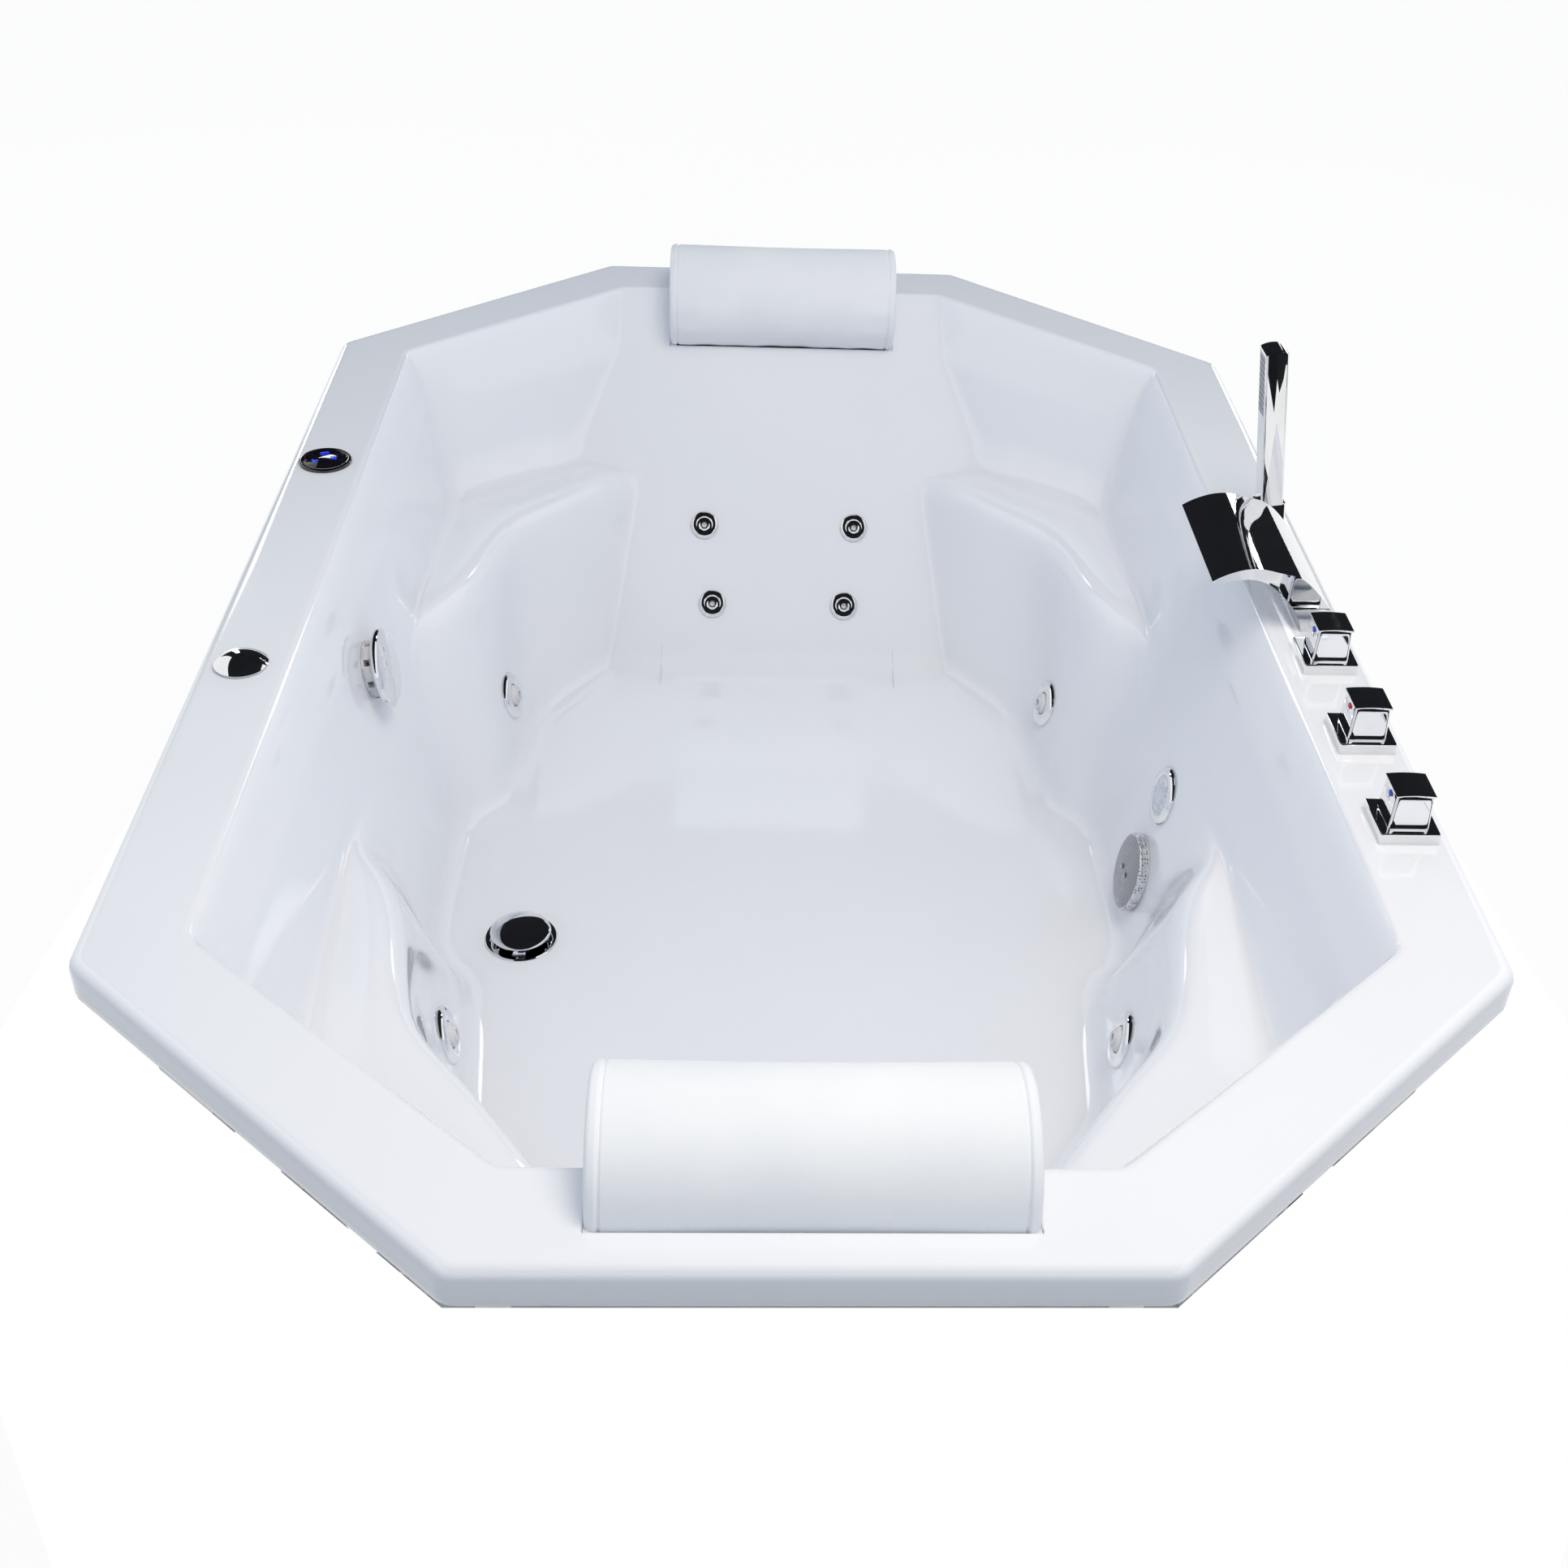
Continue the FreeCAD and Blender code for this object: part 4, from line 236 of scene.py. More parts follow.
BOARD = finish("base_board_wood", (0.42, 0.28, 0.15), (0.60, 0.44, 0.27),
               rough=(0.55, 0.7), scale=16.0, bump=0.5, fine=120.0)
PANEL_BLACK = finish("panel_black_glass", (0.004, 0.004, 0.006), (0.008, 0.008, 0.012),
                     rough=(0.04, 0.08), scale=30.0, bump=0.0, coat=0.6)
SPRAY_GREY = finish("spray_rubber", (0.40, 0.40, 0.42), (0.48, 0.48, 0.50),
                    rough=(0.4, 0.55), scale=60.0, bump=0.2)
FROSTED = finish("frosted_lens", (0.46, 0.52, 0.60), (0.74, 0.79, 0.86),
                 rough=(0.12, 0.3), scale=210.0, bump=0.5, fine=500.0, coat=0.4)
RIBBED = finish("ribbed_cover", (0.40, 0.41, 0.44), (0.46, 0.47, 0.50),
                rough=(0.2, 0.3), metallic=0.35, scale=30.0, bump=0.0)
PERFORATED = finish("perforated_rim", (0.62, 0.64, 0.68), (0.70, 0.72, 0.75),
                    rough=(0.12, 0.2), metallic=0.5, scale=30.0, bump=0.0)
GLYPH_BLUE = finish("panel_light_blue", (0.01, 0.03, 0.6), (0.02, 0.08, 0.8),
                    rough=(0.2, 0.3), scale=400.0, bump=0.0)
glow = GLYPH_BLUE.node_tree.nodes["Principled BSDF"].inputs
glow["Emission Color"].default_value = (0.03, 0.07, 1.0, 1)
glow["Emission Strength"].default_value = 0.7
DOT_RED = finish("marker_red", (0.55, 0.02, 0.03), (0.65, 0.03, 0.04),
                 rough=(0.2, 0.3), scale=90.0, bump=0.0)
DOT_BLUE = finish("marker_blue", (0.02, 0.09, 0.50), (0.03, 0.12, 0.60),
                  rough=(0.2, 0.3), scale=90.0, bump=0.0)


def shade_pattern_group(name, texture):
    """Painted shade: darken a base colour in the troughs of bands across Z (wave), as shade in grooves, or in
    round holes (distance to the nearest of scattered points), as shade in holes: dark below Low, the base
    above High, and in between a mix."""
    g = bpy.data.node_groups.new(name, "ShaderNodeTree")
    for socket in ("Base", "Dark"):
        g.interface.new_socket(socket, in_out="INPUT", socket_type="NodeSocketColor")
    for socket in ("Scale", "Low", "High"):
        g.interface.new_socket(socket, in_out="INPUT", socket_type="NodeSocketFloat")
    g.interface.new_socket("Color", in_out="OUTPUT", socket_type="NodeSocketColor")
    n, l = g.nodes, g.links
    gin, gout = n.new("NodeGroupInput"), n.new("NodeGroupOutput")
    coord, tex = n.new("ShaderNodeTexCoord"), n.new(texture)
    ramp, mix = n.new("ShaderNodeMapRange"), n.new("ShaderNodeMix")
    mix.data_type = "RGBA"
    if texture == "ShaderNodeTexWave":
        tex.bands_direction = "Z"
        value = tex.outputs["Fac"]
    else:
        tex.inputs["Randomness"].default_value = 0.25
        value = tex.outputs["Distance"]
    l.new(coord.outputs["Object"], tex.inputs["Vector"])
    l.new(gin.outputs["Scale"], tex.inputs["Scale"])
    l.new(value, ramp.inputs["Value"])
    l.new(gin.outputs["Low"], ramp.inputs["From Min"])
    l.new(gin.outputs["High"], ramp.inputs["From Max"])
    l.new(ramp.outputs["Result"], mix.inputs["Factor"])
    l.new(gin.outputs["Dark"], mix.inputs[6])
    l.new(gin.outputs["Base"], mix.inputs[7])
    l.new(mix.outputs[2], gout.inputs["Color"])
    return g


def paint_shade_pattern(m, group, scale, dark, low, high):
    """Lay painted shade, a dark pattern of grooves or holes, over the colour of a finish."""
    n, l = m.node_tree.nodes, m.node_tree.links
    base = n["Principled BSDF"].inputs["Base Color"]
    g = n.new("ShaderNodeGroup")
    g.node_tree = group
    g.inputs["Dark"].default_value = (*dark, 1)
    for socket, value in (("Scale", scale), ("Low", low), ("High", high)):
        g.inputs[socket].default_value = value
    l.new(base.links[0].from_socket, g.inputs["Base"])
    l.new(g.outputs["Color"], base)


SPRAY_PITCH, RIB_PITCH, HOLE_PITCH = 0.0070, 0.0024, 0.0034
WAVE = math.pi / 10                           # the wave texture's scale times the pitch of its bands
GROOVE_SHADE = shade_pattern_group("painted_groove_shade", "ShaderNodeTexWave")
HOLE_SHADE = shade_pattern_group("painted_hole_shade", "ShaderNodeTexVoronoi")
# painted shade: dark lines in the grooves between the rows of the hand shower's spray face
paint_shade_pattern(SPRAY_GREY, GROOVE_SHADE, WAVE / SPRAY_PITCH, (0.16, 0.16, 0.17), 0.1, 0.35)
# painted shade: dark lines in the grooves between the ribs of the suction cover's face
paint_shade_pattern(RIBBED, GROOVE_SHADE, WAVE / RIB_PITCH, (0.10, 0.10, 0.12), 0.1, 0.6)
# painted shade: dark round holes in the suction cover's perforated rim
paint_shade_pattern(PERFORATED, HOLE_SHADE, 1 / HOLE_PITCH, (0.10, 0.10, 0.12), 0.28, 0.36)


# ---------------------------------------------------------------- basin surface
SIDE_STATIONS = (0.0, 0.124, 0.249, 0.373, 0.498, 0.647, 0.796)
SLANT_STATIONS = (0.38, 0.70)
# Each line along an armrest has ten stations from the side to the backrest, in millimetres: inset
# from INNER_X, inset from INNER_Y and extra depth. Then come its x on the backrest and the extra
# depths at its three last places there.
VALLEY = (((44, 623, -10), (44, 551, -4), (48, 461, 5), (52, 371, 10), (55, 316, 13), (63, 291, 14),
           (81, 276, 14), (121, 248, 13), (171, 208, 12), (201, 171, 10)), 290, (5, 5, 5))
CREST = (((49, 613, -14), (72, 566, -18), (92, 499, -21), (104, 421, -20), (118, 371, -18),
          (136, 339, -16), (156, 316, -14), (194, 271, -10), (231, 219, -5), (254, 183, 2)),
         238, (10, 12, 18))
RIM_LINE = (((59, 623, 5), (94, 579, -2), (117, 511, -1), (133, 419, 1), (149, 367, 2), (168, 336, 3),
             (188, 311, 4), (222, 269, 6), (258, 219, 9), (284, 185, 14)), 204, (18, 22, 32))
UPPER_WALL = (((81, 641, -187), (110, 589, -187), (124, 513, -187), (137, 426, -187), (153, 379, -187),
               (171, 351, -187), (190, 327, -187), (220, 291, -187), (254, 247, -186), (277, 215, -183)),
              214, (-182, -180, -175))
LOWER_WALL = (((113, 655, -89), (132, 599, -89), (139, 519, -89), (147, 446, -89), (160, 411, -89),
               (176, 386, -89), (193, 364, -89), (218, 333, -89), (244, 303, -89), (262, 283, -89)),
              231, (-89, -89, -89))
FOOT = (((128, 681, -35), (148, 619, -35), (153, 533, -35), (162, 466, -35), (175, 433, -35),
         (188, 411, -35), (202, 392, -35), (221, 364, -35), (240, 337, -35), (254, 321, -35)),
        242, (-35, -35, -35))
FLOOR_CORNER = (((138, 693, 0), (158, 631, 0), (163, 543, 0), (172, 477, 0), (185, 447, 0), (197, 427, 0),
                 (209, 409, 0), (225, 385, 0), (241, 361, 0), (251, 347, 0)), 248, (0, 0, 0))
# extra depth of each line at the first three side stations, in millimetres
MID_SIDE = ((5, 5, 0), (22, 22, 15), (40, 40, 35), (-157, -157, -161), (-82, -82, -82), (-35, -35, -35))


BACK_TURN = 17                                # millimetres from an armrest line to the flat backrest


def side_x(depth):
    """x of the side wall: a steep band down to the ridge, and a wall of less slope under it."""
    band = np.minimum(depth, RIDGE_DEPTH)
    return INNER_X - BAND_SLOPE * band - WALL_SLOPE * (depth - band)


def back_y(depth):
    """y of the leaning backrest."""
    return INNER_Y - BACK_LEAN * depth


def unit(v):
    return v / np.linalg.norm(v)


def wall_row(depth, corner, end, soft):
    """Straight side, corner, slanted wall, corner, backrest, at one depth."""
    a, b = np.array(corner), np.array(end)
    d = unit(b - a)
    x = side_x(depth)
    flat = [(x, CORNER_Y * s) for s in SIDE_STATIONS] + [(x, a[1] - soft), a, a + d * soft]
    flat += [a + (b - a) * s for s in SLANT_STATIONS] + [b - d * soft, b, (b[0] - soft, b[1])]
    flat += [(b[0] / 2, b[1]), (0, b[1])]
    return np.array([(p[0], p[1], RIM - depth) for p in flat])


def flared(row, offset, depth):
    """A row moved outwards by an offset, at another depth."""
    along = np.zeros((len(row), 2))
    along[1:-1] = row[2:, :2] - row[:-2, :2]
    along[0], along[-1] = (0, 1), (-1, 0)
    along = along / np.linalg.norm(along, axis=1)[:, None]
    out = row.copy()
    out[:, 0] += along[:, 1] * offset
    out[:, 1] -= along[:, 0] * offset
    out[:, 2] = RIM - depth
    return out


def armrest_row(line, reference, middle):
    """One row across an armrest: plain side wall, armrest line, then the backrest."""
    stations, back_x, back_depths = line
    row = []
    for share, extra in zip(SIDE_STATIONS[:3], middle):
        depth = reference + extra * MM
        row.append((side_x(depth), CORNER_Y * share, RIM - depth))
    for inset_x, inset_y, extra in stations:
        row.append((INNER_X - inset_x * MM, INNER_Y - inset_y * MM, RIM - reference - extra * MM))
    edge, turn, flat = (reference + extra * MM for extra in back_depths)
    flat_x = (back_x - BACK_TURN) * MM
    row.append((back_x * MM, back_y(edge), RIM - edge))
    row.append((flat_x, back_y(turn), RIM - turn))
    row += [(flat_x / 2, back_y(flat), RIM - flat), (0, back_y(flat), RIM - flat)]
    return np.array(row)


def control_net():
    """Control rows from the deck to the floor, each mirrored round the whole tub."""
    top = wall_row(0, (INNER_X, CORNER_Y), (CORNER_X, INNER_Y), 0.014)
    rows = [flared(top, 0.008, -0.001), flared(top, 0.004, -0.0002), flared(top, 0.0005, 0.005)]
    # depth of each row on the upper wall, and how far its corners are softened, in millimetres
    levels = ((0.020, 14), (0.050, 15), (0.066, 16), (0.078, 18), (0.095, 20), (0.135, 28), (0.172, 36))
    for depth, soft in levels:
        low = max(depth - RIDGE_DEPTH, 0) / (SHELF_DEPTH - RIDGE_DEPTH)
        high = min(depth / RIDGE_DEPTH, 1)
        corner = (side_x(depth), CORNER_Y - 0.005 * high - 0.025 * low)
        end = (CORNER_X + 0.006 * high + 0.064 * low, back_y(depth))
        rows.append(wall_row(depth, corner, end, soft * MM))
    lines = ((VALLEY, SHELF_DEPTH), (CREST, SHELF_DEPTH), (RIM_LINE, SHELF_DEPTH),
             (UPPER_WALL, BASIN_DEPTH), (LOWER_WALL, BASIN_DEPTH), (FOOT, BASIN_DEPTH))
    rows += [armrest_row(line, ref, middle) for (line, ref), middle in zip(lines, MID_SIDE)]
    corner = armrest_row(FLOOR_CORNER, BASIN_DEPTH, (0, 0, 0))
    for i, back_off in enumerate((0.002, 0.002, 0.010)):
        corner[i] = (side_x(BASIN_DEPTH) - back_off, CORNER_Y * SIDE_STATIONS[i] * 0.88, RIM - BASIN_DEPTH)
    rows += [corner, corner * (0.885, 0.915, 1)]
    out = []
    for q in rows:
        back = q[-2::-1]
        out.append(np.concatenate([q, back * (-1, 1, 1), q[1:] * (-1, -1, 1), back[:-1] * (1, -1, 1)]))
    return np.array(out)


NET = control_net()
SPANS = len(NET) - 3


def down_weights(v):
    """Cubic B-spline weights of the control rows at each v, clamped at both ends (Cox-de Boor)."""
    count = len(NET)
    knots = np.concatenate([np.zeros(3), np.arange(count - 2), np.full(3, count - 3)])
    v = np.clip(np.atleast_1d(v), 0, SPANS - 1e-9)[:, None]
    w = ((knots[:-1] <= v) & (v < knots[1:])).astype(float)
    for p in (1, 2, 3):
        rise, fall = knots[p:-1] - knots[:-p - 1], knots[p + 1:] - knots[1:-p]
        left = (v - knots[:-p - 1]) / np.where(rise > 0, rise, 1)
        right = (knots[p + 1:] - v) / np.where(fall > 0, fall, 1)
        w = w[:, :-1] * left * (rise > 0) + w[:, 1:] * right * (fall > 0)
    return w


def round_weights(u):
    """Uniform cubic B-spline weights of the control columns at each u, closed round the tub."""
    count = NET.shape[1]
    u = np.atleast_1d(u)
    i, f = np.floor(u).astype(int), u - np.floor(u)
    w = np.zeros((len(u), count))
    parts = ((1 - f) ** 3, 3 * f ** 3 - 6 * f ** 2 + 4, -3 * f ** 3 + 3 * f ** 2 + 3 * f + 1, f ** 3)
    for k, part in enumerate(parts):
        np.add.at(w, (np.arange(len(u)), (i + k - 1) % count), part / 6)
    return w


def basin(u, v):
    """Points of the basin on the grid v x u."""
    return np.einsum("vr,uc,rcx->vux", down_weights(v), round_weights(u), NET)


# ---------------------------------------------------------------- shell
SIDE_STEPS = (5, 5, 5, 5, 6, 6, 7, 2, 2, 12, 12, 10)     # columns in each interval up to the end's corner
LIP_OUT = np.array([0.0004, 0.0012, 0.0024, 0.0042])     # soft lip of the pillow's trough: distance out ...
LIP_DOWN = np.array([0.0013, 0.0006, 0.00018, 0.0])      # ... and depth under the surface
LIP_TOP = 0.0022


def corner_fillet(p, corner, d0, d1, radius):
    """Points of a two-legged path with its corner rounded: those nearer than the tangent length
    move onto the arc, in proportion to their distance."""
    turn = math.acos(float(d0 @ d1))
    reach = radius * math.tan(turn / 2)
    left = np.array([-d0[1], d0[0]])
    rel = p - corner
    on_first = (np.abs(rel @ left) < 1e-6) & (rel @ d0 <= 0)
    along = np.where(on_first, rel @ d0, rel @ d1)
    angle = (along / reach + 1) / 2 * turn
    bow = np.sin(angle)[:, None] * d0 - np.cos(angle)[:, None] * left
    arc = corner - d0 * reach + left * radius + radius * bow
    return np.where((np.abs(along) < reach)[:, None], arc, p)


def outline(u, inner_x, inset):
    """A quarter of the deck's outer outline, moved inwards, at each column: three straight legs
    with two rounded corners. Across the end, columns keep the x of the basin's edge near the middle."""
    a, b = np.array([HALF_W, OUTER_CORNER_Y]), np.array([OUTER_CORNER_X, HALF_L])
    d = unit(b - a)
    n = np.array([d[1], -d[0]])
    ia = a - n * inset
    ia = ia + d * (HALF_W - inset - ia[0]) / d[0]
    ib = b - n * inset
    ib = ib + d * (HALF_L - inset - ib[1]) / d[1]
    side = np.interp(u, range(9), SIDE_STATIONS + (0.977, 1.0))
    slant = np.interp(u, range(8, 14), (0, 0.04) + SLANT_STATIONS + (0.96, 1))
    across = np.interp(inner_x, (0, 0.185, CORNER_X), (0, 0.185, ib[0]))
    on_side = np.stack([np.full_like(u, ia[0]), side * ia[1]], -1)
    on_end = np.stack([across, np.full_like(u, ib[1])], -1)
    past_side = np.where((u <= 13)[:, None], ia + (ib - ia) * slant[:, None], on_end)
    p = np.where((u <= 8)[:, None], on_side, past_side)
    p = corner_fillet(p, ia, np.array([0, 1.0]), d, CORNER_ROUND - inset)
    return corner_fillet(p, ib, d, np.array([-1.0, 0]), CORNER_ROUND - inset)


def all_round(quarter):
    """Mirror quarter rows (rows, columns, 3), from the side's middle to the end's, round the tub."""
    back = quarter[:, -2::-1]
    opposite, last = quarter[:, 1:] * (-1, -1, 1), back[:, :-1] * (1, -1, 1)
    return np.concatenate([quarter, back * (-1, 1, 1), opposite, last], 1)


def sheet_normals(rows):
    """Unit normals of a closed sheet: the cross product of the differences along rows and columns."""
    across = np.roll(rows, -1, 1) - np.roll(rows, 1, 1)
    normal = np.cross(across, np.gradient(rows, axis=0))
    length = np.linalg.norm(normal, axis=2, keepdims=True)
    return normal / np.where(length > 1e-12, length, 1)


def wall_side(rows):
    """+1 or -1 so that the sheet's normals point into the tub and up."""
    sample = sheet_normals(rows)[len(rows) // 2, 0]
    return -1.0 if sample[0] > 0 else 1.0


def trough_x(grow, fine):
    """Columns across the pillow's trough: x, and how far in the trough they are: 0 inside, 0.5 and
    1 up its end wall, and then the distance out from it for the soft lip."""
    h, e = PILLOW_HALF + GAP + grow, END_ROUND + GAP + grow
    bend = h - e + e * np.sin(np.radians((20, 40, 60, 75, 90) if fine else (45, 90)))
    x = np.concatenate([np.linspace(0, h - e, 16 if fine else 6), bend, (h, h), h + LIP_OUT])
    rise = np.concatenate([np.zeros(len(x) - 6), (0.5, 1.0), np.ones(4)])
    out = np.concatenate([np.zeros(len(x) - 4), LIP_OUT])
    return x, rise, out


def shell_sheet(grow, fine):
    """The shell's skin from the middle of the floor to the edge of the deck, moved into the wall by grow.

    Rows are depths on the basin's surface and then shares of the way across the deck. Columns
    follow the basin's own stations and, across the ends, fixed distances from the middle, so that
    the pillow's trough starts at a row and ends at a column. Inside the trough a point lies on
    the grown bolster: polar about its axis, its radius shrinking round the end edge."""
    radius, h, e = PILLOW_R + GAP + grow, PILLOW_HALF + GAP + grow, END_ROUND + GAP + grow
    # the section through the middle, moved by grow, and where the trough cuts it
    v = np.linspace(0.0, 9.0, 4000)
    y, z = basin([16.0], v)[:, 0, 1:].T
    ty, tz = np.gradient(y), np.gradient(z)
    t = np.hypot(ty, tz)
    y, z = y - tz / t * grow, z + ty / t * grow
    gone = np.hypot(y - PILLOW_Y, z - PILLOW_Z)
    v_cut = v[np.nonzero(gone < radius)[0].max()]
    v_top = v[np.nonzero(z > RIM - grow)[0].max()] if (z > RIM - grow).any() else 0.0
    run = np.concatenate([[0], np.cumsum(np.hypot(np.diff(y), np.diff(z)))])
    v_lip = np.interp(np.interp(v_cut, v, run) + LIP_OUT, run, v)
    step = 0.125 if fine else 0.5
    low_rows = np.arange(SPANS, v_lip[-1] + step * 0.6, -step)
    in_rows = np.linspace(v_cut, v_top, 18 if fine else 7)
    v_rows = np.concatenate([low_rows, v_lip[::-1], in_rows])
    # columns
    x_in, rise, out = trough_x(grow, fine)
    steps = SIDE_STEPS if fine else tuple(max(1, k // 2) for k in SIDE_STEPS)
    u_side = np.concatenate([k + np.arange(n) / n for k, n in enumerate(steps)])
    n_corner, n_rest = (14, 5) if fine else (6, 2)
    x_rest = np.linspace(x_in[-1], 0.19, n_rest + 1)[1:]
    x_fixed = np.concatenate([x_in, x_rest])[::-1]
    table = np.linspace(12.0, 16.0, 600)
    rows, us = [], []
    for k in v_rows:
        x_table = basin(table, [k])[0, :, 0]
        u_x = np.interp(-x_fixed, -x_table, table)
        u_row = np.concatenate([u_side, np.linspace(12.0, u_x[0], n_corner + 1)[:-1], u_x])
        rows.append(basin(u_row, [k])[0])
        us.append(u_row)
    rows = all_round(np.array(rows))
    rows = rows - sheet_normals(rows) * wall_side(rows) * grow
    count = len(u_side) + n_corner + len(x_fixed)
    quarter = rows[:, :count].copy()
    quarter[:, -1, 0] = 0
    edge = quarter[-1]
    edge[:, 2] = RIM - grow
    u_edge = us[-1]
    rim = outline(u_edge, edge[:, 0], ACRYLIC if grow else RIM_ROUND)
    y_cut = PILLOW_Y + math.sqrt(radius ** 2 - (RIM - grow - PILLOW_Z) ** 2)
    k_cut, k_mm = (y_cut - edge[-1, 1]) / (rim[-1, 1] - edge[-1, 1]), 1 / (rim[-1, 1] - edge[-1, 1])
    k_in = np.linspace(0, k_cut, 13 if fine else 5)[1:]
    k_out = np.linspace(k_cut + LIP_OUT[-1] * k_mm, 1, 6 if fine else 3)[1:]
    shares = np.concatenate([k_in, k_cut + LIP_OUT * k_mm, k_out])
    rim = np.concatenate([rim, np.full((len(rim), 1), RIM - grow)], 1)
    deck = edge + (rim - edge) * shares[:, None, None]
    quarter = np.concatenate([quarter, deck])
    first, last = len(low_rows) + 4, len(v_rows) + len(k_in)
    # soft lip: distance from the trough's outline, by row and by column
    row_out = np.full(len(quarter), 1.0)
    row_out[first:last] = 0
    row_out[first - 4:first], row_out[last:last + 4] = LIP_OUT[::-1], LIP_OUT
    column_out = np.full(count, 1.0)
    column_out[-len(x_in):] = out[::-1]
    away = np.hypot(row_out[:, None], column_out[None, :])
    drop = np.interp(away, np.append(0, LIP_OUT), np.append(LIP_TOP, LIP_DOWN))
    full = all_round(quarter)
    normal = sheet_normals(full) * wall_side(full)
    surface = quarter - normal[:, :count] * drop[..., None]
    # the bolster's own surface
    tilt = LIP_TOP / radius
    y0, z0 = quarter[first, -1, 1:]
    start = math.atan2(z0 - PILLOW_Z, y0 - PILLOW_Y) + 2 * math.pi
    stop = 2 * math.pi + math.asin((RIM - grow - PILLOW_Z) / radius)
    angle = np.linspace(start % (2 * math.pi) + tilt, stop - tilt, last - first)
    past = np.clip(x_in[::-1] - (h - e), 0, e)
    reach = radius - e + np.sqrt(e ** 2 - past ** 2)
    across = np.broadcast_to(x_in[::-1], (last - first, len(x_in)))
    trough = np.stack([across, PILLOW_Y + np.cos(angle)[:, None] * reach,
                       PILLOW_Z + np.sin(angle)[:, None] * reach], -1)
    share = rise[::-1, None]
    surface[first:last, -len(x_in):] = trough * (1 - share) + surface[first:last, -len(x_in):] * share
    floor = surface[0]
    fill = np.array([floor * (k, k, 1) for k in (0.0, 0.3, 0.6, 0.85)])
    return np.concatenate([fill, surface]), u_edge, edge[:, 0]


top, u_edge, edge_x = shell_sheet(0.0, True)
soft, full = outline(u_edge, edge_x, RIM_ROUND), outline(u_edge, edge_x, 0.0)


def level(plan, z):
    """A flat outline (n, 2) at one height."""
    return np.concatenate([plan, np.full((len(plan), 1), z)], 1)


lip = [level(soft + (full - soft) * math.sin(a), RIM - RIM_ROUND * (1 - math.cos(a)))
       for a in np.radians((15, 30, 45, 60, 75, 90))]
lip += [level(full, RIM - drop) for drop in (0.020, 0.030, LIP_DROP - 0.002)]
lip.append(level(full + (soft - full) * 0.12, RIM - LIP_DROP))
top = all_round(np.concatenate([top, np.array(lip)]))
skin = add_mesh("shell_skin", top.reshape(-1, 3), grid_faces(*top.shape[:2]), ACRYLIC_WHITE)

under, u_low, low_x = shell_sheet(ACRYLIC, False)
inner = outline(u_low, low_x, ACRYLIC)
edge = outline(u_low, low_x, 0.0013)
hem = np.array([level(inner, RIM - LIP_DROP), level(edge, RIM - LIP_DROP)])
under = all_round(np.concatenate([under, hem]))
downwards = grid_faces(*under.shape[:2])[:, ::-1]
underside = add_mesh("shell_underside", under.reshape(-1, 3), downwards, ACRYLIC_WHITE)
for obj in (skin, underside):
    weld(obj)
    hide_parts("tub_shell")


# ---------------------------------------------------------------- carried-over nodes
def smooth_copy(node, material, body="tub", degrees=32.0):
    """A merged, smoothly shaded copy of a CAD node that stands for it."""
    source = nodes[node]
    mesh = source.data.copy()
    mesh.materials.clear()
    mesh.materials.append(material)
    obj = bpy.data.objects.new(node + "_dressed", mesh)
    bpy.context.scene.collection.objects.link(obj)
    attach(obj, body)
    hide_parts(node)
    return sharpen(obj, degrees)


FINISHES = {"base_board": BOARD, "support_frame": FRAME_STEEL, "equipment_shelves": FRAME_STEEL,
            "levelling_feet": BRIGHT_STEEL, "foot_lock_nuts": BRIGHT_STEEL, "suction_screws": BRIGHT_STEEL,
            "pop_up_cable": BRIGHT_STEEL, "jet_bodies": WHITE_PLASTIC, "light_housing": WHITE_PLASTIC,
            "suction_body": WHITE_PLASTIC, "drain_trap": WHITE_PLASTIC, "fitting_nuts": WHITE_PLASTIC,
            "air_control_body": WHITE_PLASTIC, "overflow_body": WHITE_PLASTIC, "drain_body": WHITE_PLASTIC,
            "panel_case": WHITE_PLASTIC, "drain_flange": CHROME, "panel_bezel": PANEL_BLACK,
            "light_bezel": CHROME, "hand_shower_holder": CHROME, "tap_pipes": BRASS, "tap_bodies": BRASS,
            "water_pipes": PIPE_PLASTIC, "air_pipes": PIPE_PLASTIC, "pipe_elbows": PIPE_PLASTIC,
            "overflow_pipe": PIPE_PLASTIC,
            "suction_pipe": PIPE_PLASTIC, "water_hoses": HOSE_PLASTIC, "air_hoses": HOSE_PLASTIC,
            "pump_volute": BLACK_PLASTIC, "pump_back_plate": BLACK_PLASTIC, "fan_cover": BLACK_PLASTIC,
            "control_box": BLACK_PLASTIC, "shaft_bearings": BRIGHT_STEEL, "motor_case": MOTOR_PAINT,
            "motor_stator": IRON, "panel_glass": PANEL_BLACK}
for node, material in FINISHES.items():
    smooth_copy(node, material)
SHOWN = (("pump_impeller", "pump_rotor", BLACK_PLASTIC), ("pump_shaft", "pump_rotor", BRIGHT_STEEL),
         ("motor_core", "pump_rotor", IRON), ("motor_fan", "pump_rotor", BLACK_PLASTIC),
         ("overflow_knob", "overflow_knob", CHROME), ("air_control_dial", "air_dial", CHROME),
         ("hand_shower", "handset", CHROME), ("spray_face", "handset", SPRAY_GREY),
         ("spout", "tub", CHROME), ("valve_plates", "tub", CHROME), ("jet_faces", "tub", CHROME),
         ("light_lens", "tub", FROSTED))
for node, body, material in SHOWN:
    smooth_copy(node, material, body)
for key in ("near_left", "near_right", "far_left", "far_right"):
    smooth_copy("jet_nozzle_" + key, WHITE_PLASTIC, "nozzle_" + key)


